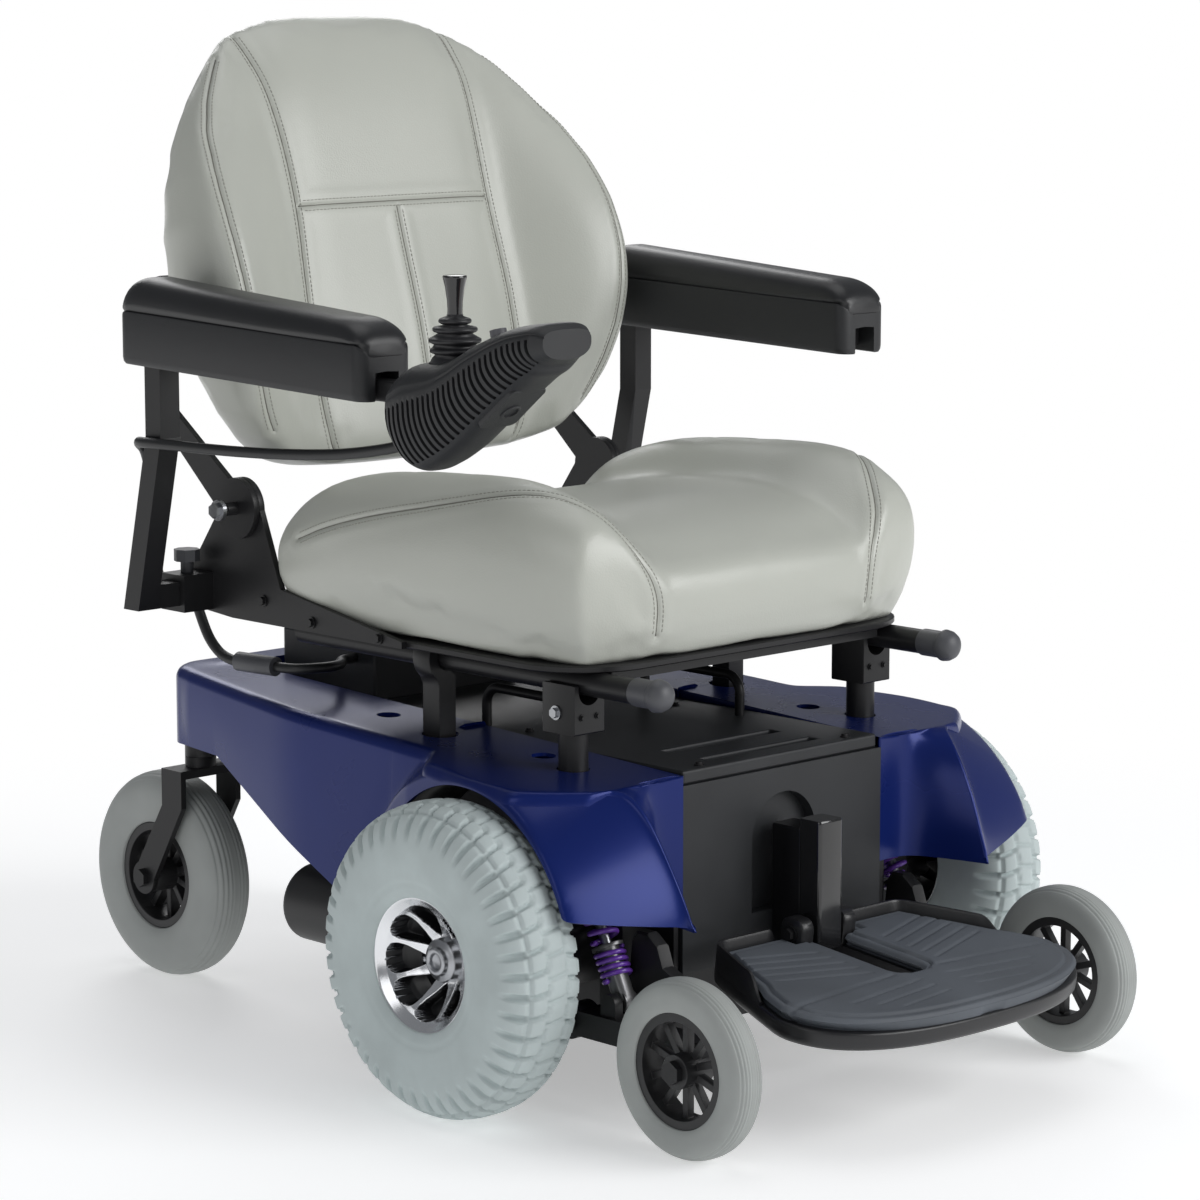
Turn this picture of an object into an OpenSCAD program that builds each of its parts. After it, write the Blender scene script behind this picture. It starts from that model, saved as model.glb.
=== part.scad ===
/* [Drive wheels] */
// Diameter of the drive tyres
drive_d = 273; // [262:1:284]
// Width of the drive tyres
drive_w = 82; // [74:1:88]
// Distance between the middle planes of the drive tyres
drive_track = 592; // [584:1:620]
// Diameter of the drive rims
rim_d = 122; // [110:1:140]
// Spokes in a drive rim
rim_spokes = 9; // [5:1:12]
// Diameter of the drive shafts
shaft_d = 22; // [18:1:26]

/* [Rear casters] */
// Diameter of the caster tyres
caster_d = 200; // [180:1:206]
// Width of the caster tyres
caster_w = 50; // [42:1:54]
// Distance between the two swivel stems
caster_track = 328; // [318:1:334]
// Swivel stem behind the drive axle
caster_stem_y = 505; // [495:1:525]
// Caster axle behind its stem
caster_trail = 46; // [38:1:52]
// Diameter of the caster hubs
caster_hub_d = 104; // [90:1:116]

/* [Front stabiliser wheels] */
// Diameter of the front stabiliser tyres
antitip_d = 152; // [144:1:158]
// Width of the front stabiliser tyres
antitip_w = 32; // [26:1:36]
// Distance between the two front stabiliser wheels
antitip_track = 480; // [474:1:500]
// Front stabiliser axle ahead of the drive axle
antitip_reach = 230; // [222:1:240]
// Diameter of the front stabiliser hubs
antitip_hub_d = 98; // [86:1:108]
// Spokes in a caster or stabiliser hub
hub_spokes = 10; // [6:1:12]

/* [Suspension] */
// Length of a strut between its two pins
strut_len = 138; // [132:1:144]
// Outer diameter of the strut spring
spring_d = 28; // [24:1:29]
// Wire of the strut spring
spring_wire = 5; // [4:0.5:6]
// Turns of the strut spring
spring_turns = 7; // [5:1:8]

/* [Base] */
// Width of the battery box
box_w = 250; // [240:1:254]
// Front of the battery box ahead of the drive axle
box_front = 108; // [104:1:112]
// Length of the battery box
box_len = 440; // [420:1:448]
// Underside of the battery box above the floor
box_z = 112; // [106:1:118]
// Height of the battery box
box_h = 165; // [158:1:170]
// Thickness of the chassis side plates
plate_t = 6; // [5:0.5:8]
// Diameter of the motor cans
motor_d = 72; // [60:1:76]
// Rear end of the motors behind the drive axle
motor_reach = 330; // [300:1:336]

/* [Shrouds] */
// Wall of the shrouds
shroud_wall = 3; // [2.5:0.5:4]
// Top of the shrouds at their front
shroud_front_z = 286; // [285:1:292]
// Top of the shrouds at their rear
shroud_rear_z = 311; // [305:1:316]
// Rear wall of the shrouds behind the drive axle
shroud_rear_y = 526; // [526:1:548]
// Bottom edge of the shrouds over the casters
shroud_low_z = 237; // [232:1:242]
// Front tip of the shrouds ahead of the drive axle
shroud_tip = 185; // [170:1:196]

/* [Foot platform] */
// Width of the foot platform
foot_w = 344; // [320:1:352]
// Length of the foot platform ahead of its hinge
foot_len = 205; // [196:1:222]
// Downward slope of the foot platform
foot_tilt = 6; // [0:1:8]
// Hinge of the foot platform ahead of the drive axle
foot_hinge_y = 150; // [146:1:156]
// Hinge of the foot platform above the floor
foot_hinge_z = 140; // [136:1:150]
// Thickness of the foot platform
foot_t = 22; // [16:1:24]
// Thickness of the rubber mat
mat_t = 6; // [4:0.5:8]

/* [Seat] */
// Axis of the seat rails above the floor
rail_z = 366; // [362:1:380]
// Diameter of the seat rails
rail_d = 22; // [20:1:25]
// Distance between the seat rails
rail_gauge = 362; // [350:1:366]
// Front end of the seat rails ahead of the drive axle
rail_front = 130; // [120:1:138]
// Width of the seat cushion
seat_w = 474; // [460:1:484]
// Length of the seat cushion
seat_len = 418; // [400:1:424]
// Height of the seat cushion in the middle
seat_h = 108; // [100:1:114]
// Extra height of the side bolsters
bolster_h = 30; // [20:1:34]

/* [Backrest] */
// Width of the backrest cushion beyond the seat cushion
back_over = 34; // [20:1:38]
// Height of the backrest cushion
back_h = 440; // [420:1:446]
// Thickness of the backrest cushion
back_t = 72; // [64:1:80]
// Rearward lean of the backrest
back_tilt = 13; // [11:1:15]
// Backrest hinge behind the drive axle
recline_y = 362; // [358:1:368]
// Backrest hinge above the seat rails
recline_h = 114; // [108:1:120]

/* [Armrests] */
// Middle of an armrest outside the side of the seat cushion
arm_offset = 60; // [57:1:66]
// Length of the armrests
arm_len = 334; // [310:1:345]
// Width of the armrests
arm_w = 60; // [54:1:62]
// Side of the square armrest tubes
arm_tube = 22; // [20:1:24]
// Height of the armrest undersides above the seat rails
arm_h = 240; // [232:1:250]
// Turning axis of the armrests above the seat rails
arm_hinge_h = 33; // [30:1:38]

/* [Controller] */
// Width of the hand controller
pod_w = 78; // [72:1:78]
// Length of the hand controller
pod_len = 176; // [166:1:186]
// Height of the hand controller
pod_h = 128; // [120:1:134]
// Length of the joystick above its pivot
stick_h = 82; // [74:1:90]
// Diameter of the controller cable
cable_d = 10; // [8:0.5:11]

/* [Hidden] */
$fn = 64;

// Shared clearances: cuts overrun by cut, running pins by run_gap, soft and moving parts by air_gap
cut = 1;
run_gap = 0.05;
air_gap = 0.3;

// Heights and places of the wheels
axle_z = drive_d / 2;
caster_y = caster_stem_y + caster_trail;
caster_z = caster_d / 2;
antitip_z = antitip_d / 2;
tyre_inner_x = (drive_track - drive_w) / 2;

// Base: the side plates stand beside the battery box
plate_x = box_w / 2 + 2 * cut;
plate_out = plate_x + plate_t;
frame_low = 62;
frame_top = 262;
box_rear = box_len - box_front;
box_top = box_z + box_h;
box_wall = 4;
box_front_wall = 20;
arch_w = 80;
arch_top = 22;
arch_depth = 12;
lid_t = 12;
lid_inset = 3;
lid_slot_w = 12;
lid_slot_share = 0.55;
battery_gap = 4;
handle_rod = 9;
handle_bend = 16;
handle_len = 124;
handle_rise = 36;
handle_x_share = 0.8;
handle_y_share = 0.32;
module_w = 180;
module_len = 136;
module_h = 50;
module_y = 334;

// Motors and gearboxes between the side plates and the tyres
wheel_gap = 23;
gear_out = tyre_inner_x - wheel_gap;
gear_r = 46;
motor_drop = 22;
motor_x = (plate_out + gear_out) / 2;
motor_dome = 16;
shaft_in = 16;

// Cross beams and brackets of the chassis
beam_d = 30;
beam_h = 40;
stem_r = 9.5;
stem_tube_r = 15;
stem_bottom = 222;
stem_top = 286;
bracket_y = 28;
outrigger_front = 76;
outrigger_back = 48;
outrigger_gap = 4;
outrigger_top = 176;
post_bracket_t = 6;
post_bracket_x = 202;
post_bracket_w = 44;

// Front stabiliser arms and struts: the strut stands square to the lever it pushes
pivot_y = 54;
pivot_z = antitip_z;
pivot_r = 8;
lever_y = 44;
lever_z = 22;
arm_bar_share = 0.47664;
arm_bar_w_share = 0.2243;
arm_bar_w = (antitip_track / 2 - plate_out) * arm_bar_w_share;
arm_bar_h = 22;
arm_bar_x = plate_out + (antitip_track / 2 - plate_out) * arm_bar_share;
strut_x = 184;
outrigger_x = min(strut_x - spring_d / 2, arm_bar_x) - outrigger_gap;
strut_lean = atan2(lever_z, lever_y);
pin_r = 4;
pin_slack = 0.6;
eye_r = 9;
eye_w = 14;
damper_r = 9.5;
damper_len = 48;
rod_r = 4.5;
seat_disc_t = 3;
spring_low = damper_len + seat_disc_t;
spring_top_gap = 18;
spring_high = strut_len - spring_top_gap;
bolt_r = 6;
hub_side_gap = 5;

// Shrouds: side profile and plan as shares of their own sizes
shroud_x = gear_out;
shroud_inner = box_w / 2;
fender_low_z = 173;
arch_r = axle_z + 9.5;
lip_t = 4;
lip_out = 20;
lip_in = 34;
flare_out = 62;
flare_r = 42;
flare_in = 36;
flare_inset = 0.8;
flare_end_share = 0.918;
flare_edge_z = 194;
flare_y_shares = [-0.97, 0, 0.6, 1, 1.2];
flare_x_shares = [1, 0.78, 0.56, 0.33, 0];
slope_y = 431;
slope_end_y = 150;
slope_end_z = 113;
fin_top_share = 0.9;
plan_y_shares = [1, 0.57, 0.28, -0.04, -0.115, -0.206, -0.36];
plan_x_shares = [0.8, 0.97, 1, 1, 0.925, 0.885, 0.82];
post_hole_r = 17;
hook_hole_r = 19.5;
extra_hole_r = 11;
extra_hole_y_shares = [0.04, 0.43];
extra_hole_x_share = 0.72;
rear_bridge = 42;

// Seat posts and their saddles
post_x = rail_gauge / 2;
post_y = -31;
hook_y = 140;
post_r = 13;
saddle_w = 36;
saddle_d = 40;
saddle_h = 44;
hook_t = 10;
rail_r = rail_d / 2;
rail_wall = 2;
rail_rear = recline_y - 34;
cap_r = 14.5;
cap_len = 16;
sleeve_r = 12.5;
sleeve_len = 22;

// Foot platform, drawn flat about its hinge and then tipped
post_w = 30;
post_lead = 15;
post_top = 240;
post_bottom = 124;
mat_drop = 5;
lug_t = 16;
lug_r = 13;
foot_pin_r = 6;
slot_len = 118;
slot_side_gap = 3.5;
foot_back = 14;
front_power = 2.6;
front_share = 0.427;
rear_w_share = 0.68;
mat_share = 0.965;
rim_t = 5;
rim_up = 14;
rim_len = 74;

// Seat pan and cushion
pan_t = 6;
pan_z = rail_z + rail_r;
pan_inset = 17;
pan_w = seat_w - 2 * pan_inset;
pan_front = 78;
cross_w = 28;
cross_h = 10;
cushion_z = pan_z + pan_t + air_gap;
seat_front = 94;
seam_x = 131;
seam_w = 16;
seam_dip = 8;
bolster_x = 188;
bolster_w = 44;
waterfall = 20;
seat_rear_drop = 44;
seat_edge_share = 0.66;
seat_corner_share = 0.09;
seat_u_shares = [0, 0.16, 0.32, 0.42, 0.5, 0.56, 0.62, 0.72, 0.82, 0.9, 0.96, 1];
seat_v_shares = [-1, -0.97, -0.92, -0.84, -0.7, -0.5, -0.25, 0, 0.25, 0.5, 0.7, 0.84, 0.93, 0.98, 1];
seat_side_shares = [[1, 0.5], [0.92, 0.34], [0.905, 0.12], [0.895, 0]];

// Hinge brackets, canes and armrest receivers
recline_z = rail_z + recline_h;
bracket_in = pan_w / 2;
bracket_t = 6;
bracket_out = bracket_in + bracket_t;
hinge_pin_r = 6;
hinge_disc_r = 28;
cane_w = 34;
cane_knee = [104, 82];
cane_top = [128, 195];
back_bar_h = 30;
back_bar_t = 8;
back_bar_up = 170;
arm_y = 420;
arm_z = rail_z + arm_hinge_h;
receiver_w = 34;
receiver_len = 34;
spigot_r = 11;
knob_r = 12;
knob_h = 22;
side_plate_front = 140;
side_plate_h = 34;

// Backrest cushion, drawn upright about the hinge line and then leaned back
back_w = seat_w + back_over;
back_bottom = 24;
back_front = -24;
back_w_shares = [[0, 0.72], [0.1, 0.86], [0.25, 0.955], [0.42, 1], [0.6, 0.985], [0.76, 0.9],
    [0.88, 0.76], [0.95, 0.66], [1, 0.6]];
back_u_shares = [0, 0.15, 0.3, 0.4, 0.46, 0.52, 0.58, 0.68, 0.8, 0.9, 0.96, 1];
back_v_shares = [0, 0.03, 0.08, 0.16, 0.26, 0.38, 0.5, 0.56, 0.6, 0.64, 0.72, 0.82, 0.9, 0.96, 1];
back_seam_share = 0.52;
back_cross_share = 0.6;
back_dip = 7;
back_dip_share = 0.06;
back_bolster = 58;
back_edge_share = 0.42;
back_top_drop = 30;
back_roll = 46;
shell_t = 8;
shell_share = 0.74;

// Armrests
arm_x = seat_w / 2 + arm_offset;
arm_rear = 408;
arm_under = rail_z + arm_h;
arm_slope = 10;
arm_body_h = 38;
pad_rear_h = 40;
pad_front_h = 30;
pad_edge = 10;
channel_w = arm_tube + 4;
channel_h = 22;
upright_y = 383;
upright_kink = 150;
arm_bar_inset = 18;
arm_bar_front = arm_rear - arm_len + arm_bar_inset;

// Hand controller
pod_gap = 28;
pod_rear = arm_rear - arm_len - pod_gap;
pod_low = arm_under - 52;
pod_side_shares = [[0, 0.36], [0.04, 0.09], [0.3, 0], [0.52, 0.12], [0.985, 0.66], [1, 0.88],
    [0.93, 1], [0.6, 0.87], [0.4, 0.69], [0.16, 0.67], [0, 0.54]];
pod_plan_shares = [[-0.42, 0], [-0.5, 0.06], [-0.5, 0.8], [-0.36, 1], [0.36, 1], [0.5, 0.8], [0.5, 0.06],
    [0.42, 0]];
stick_y_share = 0.33;
stick_z_share = 0.63;
stick_y = pod_rear - pod_len * stick_y_share;
stick_z = pod_low + pod_h * stick_z_share;
well_r = 25;
well_depth = 16;
gimbal_r = 10;
gimbal_bore = 7;
gimbal_t = 6;
gimbal_pin = 1.5;
lever_r = 4;
knob_low_r = 7;
knob_top_r = 10.5;
knob_len = 42;
boot_low = 7;
boot_h = 31;
boot_ribs = 4;
boot_r = 22;
boot_top_r = 8;
panel_tilt = atan2((pod_side_shares[6][1] - pod_side_shares[7][1]) * pod_h,
    (pod_side_shares[6][0] - pod_side_shares[7][0]) * pod_len);
button_r = 7;
button_h = 5;
button_x = 17;
button_along = 26;
button_hole = 12;
button_travel = 1.5;
clamp_w = 30;
clamp_h = 16;

// Cable routes, measured outward from the middle, back from the drive axle and up from the floor
cable_sides = 10;
cable_steps = 2;
cable_in = 2;
cable_in_z = 574;
cable_bend = 24;
cable_bend_z = 566;
arm_shape = [[3, 130, 556], [7, 200, 550], [12, 270, 547], [17, 340, 546], [18, 385, 545], [12, 402, 543],
    [1, 408, 534], [-9, 414, 512], [-21, 424, 476], [-33, 440, 436], [-45, 451, 412], [-55, 455, 402],
    [-69, 456, 400]];
arm_route = concat(
    [[arm_x, pod_rear - cable_in, cable_in_z], [arm_x + cut, pod_rear + cable_bend, cable_bend_z]],
    [for (p = arm_shape) [arm_x + p[0], p[1], p[2]]]);
base_shape = [[-69.4, 456, 400], [-80, 456, 399], [-88, 454, 390], [-91, 450, 372], [-92, 438, 350],
    [-93, 424, 337], [-94, 410, 331.8], [-95, 398, 331]];
base_route = [for (p = base_shape) [arm_x + p[0], p[1], p[2]]];
plug_in = 101;
tail_end_x = module_w / 2 + cut;
tail_shape = [[1, 350, 331], [0.986, 339, 331], [0.933, 327, 331], [0.8, 319, 331], [0.6, 320, 330],
    [0.39, 334, 328], [0.248, 352, 326], [0.133, 362, 325], [0, 363, 325]];
tail_route = [for (p = tail_shape) [tail_end_x + (arm_x - plug_in - tail_end_x) * p[0], p[1], p[2]]];
plug_r = 9;
plug_gap = 0.5;

// Front and rear reach set the middle of the whole length
front_reach = foot_hinge_y + foot_len * cos(foot_tilt) - (mat_drop + mat_t) * sin(foot_tilt);
rear_reach = caster_y + caster_d / 2;
axle_y = (front_reach - rear_reach) / 2;

function unit(v) = v / norm(v);
function bell(t) = exp(-t * t);
function flip(list) = [for (i = [len(list) - 1:-1:0]) list[i]];
function both_ways(shares) = concat([for (i = [len(shares) - 1:-1:1]) -shares[i]], shares);
function ring_section(r_in, r_out, w, power, steps) = [for (i = [0:steps - 1])
    let (t = 360 * i / steps, c = cos(t), s = sin(t))
    [(r_in + r_out) / 2 + (r_out - r_in) / 2 * sign(c) * pow(abs(c), 2 / power),
     w / 2 * sign(s) * pow(abs(s), 2 / power)]];

// A smooth curve through the points of a route
function curve_point(a, b, c, d, t) =
    0.5 * (2 * b + (c - a) * t + (2 * a - 5 * b + 4 * c - d) * t * t + (3 * b - a - 3 * c + d) * t * t * t);
function smooth_route(p, steps) = concat([for (i = [0:len(p) - 2], k = [0:steps - 1])
    curve_point(p[max(i - 1, 0)], p[i], p[i + 1], p[min(i + 2, len(p) - 1)], k / steps)], [p[len(p) - 1]]);

// Rings of points carried along a path without twist, and the closed skin over them
function tangents(p) = [for (i = [0:len(p) - 1]) unit(p[min(i + 1, len(p) - 1)] - p[max(i - 1, 0)])];
function square_to(n, t) = unit(n - (n * t) * t);
function ring_normals(t, first) = [for (i = 0, n = square_to(first, t[0]); i < len(t);
    i = i + 1, n = i < len(t) ? square_to(n, t[i]) : n) n];
function tube_points(p, r, sides, first) = let (t = tangents(p), n = ring_normals(t, first))
    [for (i = [0:len(p) - 1], k = [0:sides - 1])
        p[i] + r * (cos(360 * k / sides) * n[i] + sin(360 * k / sides) * cross(t[i], n[i]))];
function tube_faces(rings, sides) = concat(
    [for (i = [0:rings - 2], k = [0:sides - 1]) let (a = i * sides + k, b = i * sides + (k + 1) % sides)
        each [[a, a + sides, b + sides], [a, b + sides, b]]],
    [for (k = [1:sides - 2]) each [[0, k, k + 1],
        [(rings - 1) * sides, (rings - 1) * sides + k + 1, (rings - 1) * sides + k]]]);
module tube_along(p, r, sides, first) {
    polyhedron(points = tube_points(p, r, sides, first), faces = tube_faces(len(p), sides));
}

// A padded block: a grid of top points, side rings below its rim and a flat underside
function grid_rim(nu, nv) = concat([for (i = [0:nu - 2]) i], [for (j = [0:nv - 2]) j * nu + nu - 1],
    [for (i = [nu - 1:-1:1]) (nv - 1) * nu + i], [for (j = [nv - 1:-1:1]) j * nu]);
function grid_faces(nu, nv) = [for (j = [0:nv - 2], i = [0:nu - 2]) let (a = j * nu + i)
    each [[a, a + nu, a + nu + 1], [a, a + nu + 1, a + 1]]];
function skirt_faces(rim, base, rings) = let (n = len(rim)) concat(
    [for (k = [0:n - 1]) let (m = (k + 1) % n) each [[rim[k], rim[m], base + m], [rim[k], base + m,
        base + k]]],
    [for (r = [0:rings - 2], k = [0:n - 1]) let (a = base + r * n + k, b = base + r * n + (k + 1) % n)
        each [[a, b, b + n], [a, b + n, a + n]]],
    [for (k = [0:n - 1]) [base + rings * n, base + (rings - 1) * n + k, base + (rings - 1) * n + (k
        + 1) % n]]);
module padded_block(top, nu, nv, rings, middle) {
    rim = grid_rim(nu, nv);
    skirt = [for (ring = rings, k = rim) [middle[0] + (top[k][0] - middle[0]) * ring[0],
        middle[1] + (top[k][1] - middle[1]) * ring[0], middle[2] + (top[k][2] - middle[2]) * ring[1]]];
    polyhedron(points = concat(top, skirt, [middle]),
        faces = concat(grid_faces(nu, nv), skirt_faces(rim, len(top), len(rings))));
}

module at_axle() {
    translate([0, axle_y, 0]) children();
}
module right() {
    mirror([1, 0, 0]) children();
}
module both() {
    children();
    right() children();
}
// A round bar along X, Y or Z from one end to the other
module bar_x(from, to, y, z, r) {
    translate([from, y, z]) rotate([0, 90, 0]) cylinder(h = to - from, r = r);
}
module bar_y(x, from, to, z, r) {
    translate([x, from, z]) rotate([-90, 0, 0]) cylinder(h = to - from, r = r);
}
module bar_z(x, y, from, to, r) {
    translate([x, y, from]) cylinder(h = to - from, r = r);
}
module block(low, high) {
    translate(low) cube(high - low);
}
// An outline drawn in Y and Z, given thickness along X
module side_plate(from, to, points) {
    translate([from, 0, 0]) rotate([90, 0, 90]) linear_extrude(to - from) polygon(points);
}
// A turned shape whose axis lies along X at a wheel's middle
module turned(x, y, z) {
    translate([x, y, z]) rotate([0, 90, 0]) rotate_extrude() children();
}
module hex_x(from, to, y, z, r) {
    translate([from, y, z]) rotate([0, 90, 0]) cylinder(h = to - from, r = r, $fn = 6);
}

// Drive wheels
rim_r = rim_d / 2;
rim_w = drive_w * 0.74;
rim_wall = 9;
hub_r = 24;
spoke_w = 10;
spoke_t = 14;
spoke_inset = 6;
rim_dish = 26;
nut_r = 15;
nut_t = 12;
drive_x = drive_track / 2;
rim_face = drive_x + rim_w / 2;
module drive_tyre() {
    color("lightgray") difference() {
        turned(drive_x, 0, axle_z)
            polygon(ring_section(rim_r * 0.7, drive_d / 2, drive_w, 2.7, 40));
        bar_x(drive_x - drive_w, drive_x + drive_w, 0, axle_z, rim_r);
    }
}
module drive_rim() {
    color("silver") {
        difference() {
            bar_x(drive_x - rim_w / 2, rim_face, 0, axle_z, rim_r);
            bar_x(drive_x - rim_w / 2 - cut, rim_face + cut, 0, axle_z, rim_r - rim_wall);
        }
        translate([rim_face, 0, axle_z])
            for (i = [0:rim_spokes - 1])
                rotate([360 * i / rim_spokes, 0, 0])
                    translate([0, spoke_w / 2, 0]) rotate([90, 0, 0]) linear_extrude(spoke_w) polygon(
                        [[-spoke_inset, rim_r - rim_wall / 2], [-spoke_inset - spoke_t,
                            rim_r - rim_wall / 2],
                         [-rim_dish - spoke_t, hub_r - rim_wall], [-rim_dish - cut, hub_r - rim_wall]]);
        bar_x(tyre_inner_x - hub_side_gap, rim_face - rim_dish, 0, axle_z, hub_r);
        bar_x(plate_out + shaft_in, tyre_inner_x + hub_side_gap, 0, axle_z, shaft_d / 2);
        hex_x(rim_face - rim_dish - nut_t / 2, rim_face - rim_dish + nut_t / 2, 0, axle_z, nut_r);
    }
}

// Casters
caster_x = caster_track / 2;
leg_in = caster_w / 2 + hub_side_gap;
leg_t = 6;
leg_out = leg_in + leg_t;
crown_drop = 10;
crown_z = stem_bottom - crown_drop;
crown_t = 8;
leg_w = 30;
leg_knee = 36;
axle_eye_r = 16;
module solid_tyre(x, y, z, d, w, hub_d) {
    color("lightgray") difference() {
        turned(x, y, z) polygon(ring_section(hub_d / 2 - w / 5, d / 2, w, 2.8, 36));
        bar_x(x - w, x + w, y, z, hub_d / 2);
    }
}
hub_ring_share = 0.84;
hub_web_share = 0.3;
hub_boss_share = 0.3;
module spoked_hub(x, y, z, hub_d, w, boss_w) {
    root = hub_d / 2 * hub_boss_share - 2 * cut;
    color("dimgray") difference() {
        union() {
            difference() {
                bar_x(x - w / 2, x + w / 2, y, z, hub_d / 2);
                bar_x(x - w / 2 - cut, x + w / 2 + cut, y, z, hub_d / 2 * hub_ring_share);
            }
            translate([x - w * hub_web_share / 2, y, z])
                for (i = [0:hub_spokes - 1])
                    rotate([360 * i / hub_spokes, 0, 0])
                        translate([0, -leg_t / 2, root]) cube([w * hub_web_share, leg_t, hub_d / 2
                            * hub_ring_share + cut - root]);
            bar_x(x - boss_w / 2, x + boss_w / 2, y, z, hub_d / 2 * hub_boss_share);
        }
        bar_x(x - boss_w, x + boss_w, y, z, bolt_r + run_gap);
    }
}
hub_w_share = 0.8;
module caster_tyre() {
    solid_tyre(caster_x, caster_y, caster_z, caster_d, caster_w, caster_hub_d);
}
module caster_hub() {
    spoked_hub(caster_x, caster_y, caster_z, caster_hub_d, caster_w * hub_w_share, 2 * (leg_in - air_gap));
}
module caster_fork() {
    leg = [[caster_stem_y - leg_w / 2, crown_z], [caster_stem_y - leg_w / 2, crown_z - leg_knee],
        [caster_y - axle_eye_r, caster_z], [caster_y + axle_eye_r, caster_z],
        [caster_stem_y + leg_w / 2, crown_z - leg_knee], [caster_stem_y + leg_w / 2, crown_z]];
    color("black") {
        for (s = [-1, 1]) {
            a = caster_x + s * (leg_in + leg_t / 2);
            side_plate(a - leg_t / 2, a + leg_t / 2, leg);
            bar_x(a - leg_t / 2, a + leg_t / 2, caster_y, caster_z, axle_eye_r);
        }
        block([caster_x - leg_out, caster_stem_y - leg_w / 2, crown_z - crown_t],
            [caster_x + leg_out, caster_stem_y + leg_w / 2, crown_z]);
        bar_z(caster_x, caster_stem_y, crown_z - crown_t / 2, stem_bottom - air_gap, stem_tube_r);
        bar_z(caster_x, caster_stem_y, crown_z, stem_top - cut, stem_r);
        bar_x(caster_x - leg_out - leg_t, caster_x + leg_out + leg_t, caster_y, caster_z, bolt_r);
        for (s = [-1, 1])
            hex_x(caster_x + s * (leg_out + leg_t / 2) - leg_t / 2, caster_x + s * (leg_out
                + leg_t / 2) + leg_t / 2,
                caster_y, caster_z, bolt_r + leg_t / 2);
    }
}

// Front stabiliser wheels, arms and struts
antitip_x = antitip_track / 2;
module antitip_tyre() {
    solid_tyre(antitip_x, -antitip_reach, antitip_z, antitip_d, antitip_w, antitip_hub_d);
}
module antitip_hub() {
    spoked_hub(antitip_x, -antitip_reach, antitip_z, antitip_hub_d, antitip_w * hub_w_share, antitip_w);
}
lever_pin_y = -pivot_y - lever_y;
lever_pin_z = pivot_z + lever_z;
module antitip_arm() {
    bar_out = arm_bar_x + arm_bar_w;
    lug_in = strut_x + damper_r + 2 * cut;
    wheel_in = antitip_x - antitip_w / 2 - air_gap;
    wheel_out = antitip_x + antitip_w / 2 + air_gap;
    color("black") difference() {
        union() {
            block([arm_bar_x, -antitip_reach, pivot_z - arm_bar_h / 2], [bar_out, -pivot_y, pivot_z
                + arm_bar_h / 2]);
            bar_x(arm_bar_x, bar_out, -pivot_y, pivot_z, arm_bar_h * 0.7);
            bar_x(arm_bar_x, bar_out, -antitip_reach, antitip_z, arm_bar_h * 0.6);
            block([min(arm_bar_x, lug_in), lever_pin_y - eye_r, pivot_z],
                [max(bar_out, lug_in + eye_r) - cut, lever_pin_y + eye_r, pivot_z + arm_bar_h / 2 - cut]);
            block([lug_in, lever_pin_y - eye_r, pivot_z], [lug_in + eye_r, lever_pin_y + eye_r,
                lever_pin_z]);
            bar_x(lug_in, lug_in + eye_r, lever_pin_y, lever_pin_z, eye_r);
            bar_x(strut_x - eye_w / 2, lug_in + cut, lever_pin_y, lever_pin_z, pin_r);
            bar_x(bar_out - cut, wheel_in, -antitip_reach, antitip_z, bolt_r * 1.6);
            bar_x(bar_out - cut, wheel_out + leg_t, -antitip_reach, antitip_z, bolt_r);
            hex_x(wheel_out, wheel_out + leg_t, -antitip_reach, antitip_z, bolt_r * 1.7);
        }
        bar_x(arm_bar_x - cut, bar_out + cut, -pivot_y, pivot_z, pivot_r + run_gap);
    }
}
// Puts a strut piece, drawn upright from its lower pin, in its place
module on_strut() {
    translate([strut_x, lever_pin_y, lever_pin_z]) rotate([-strut_lean, 0, 0]) children();
}
module strut_damper() {
    color("slategray") on_strut() difference() {
        union() {
            bar_x(-eye_w / 2, eye_w / 2, 0, 0, eye_r);
            bar_z(0, 0, 0, damper_len, damper_r);
            bar_z(0, 0, damper_len - cut, damper_len + seat_disc_t - cut, spring_d / 2);
        }
        bar_x(-eye_w, eye_w, 0, 0, pin_r + pin_slack);
        bar_z(0, 0, eye_r + pin_r, strut_len, rod_r + run_gap);
    }
}
module strut_rod() {
    color("silver") on_strut() {
        bar_z(0, 0, damper_len / 2, strut_len, rod_r);
        bar_z(0, 0, spring_high, spring_high + seat_disc_t, spring_d / 2);
        bar_x(-eye_w / 2, eye_w / 2, 0, strut_len, eye_r);
    }
}
function spring_path() = let (r = (spring_d - spring_wire) / 2, n = 8 * spring_turns,
    low = spring_low + 1.5 * spring_wire, high = spring_high - 1.5 * spring_wire) concat(
    [[r, 0, spring_low]],
    [for (i = [0:n]) [r * cos(45 * i), r * sin(45 * i), low + (high - low) * i / n]],
    [[r * cos(45 * n), r * sin(45 * n), spring_high]]);
// The least gap between two turns, measured between points over half a turn apart
function coil_gap(p, d) = min([for (i = [0:len(p) - 2], j = [i + 5:1:len(p) - 1]) norm(p[i] - p[j])]) - d;
echo(str("Least gap in the strut spring: ", coil_gap(spring_path(), spring_wire)));
module strut_spring() {
    color("rebeccapurple") on_strut() tube_along(spring_path(), spring_wire / 2, 6, [0, 1, 0]);
}

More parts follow.
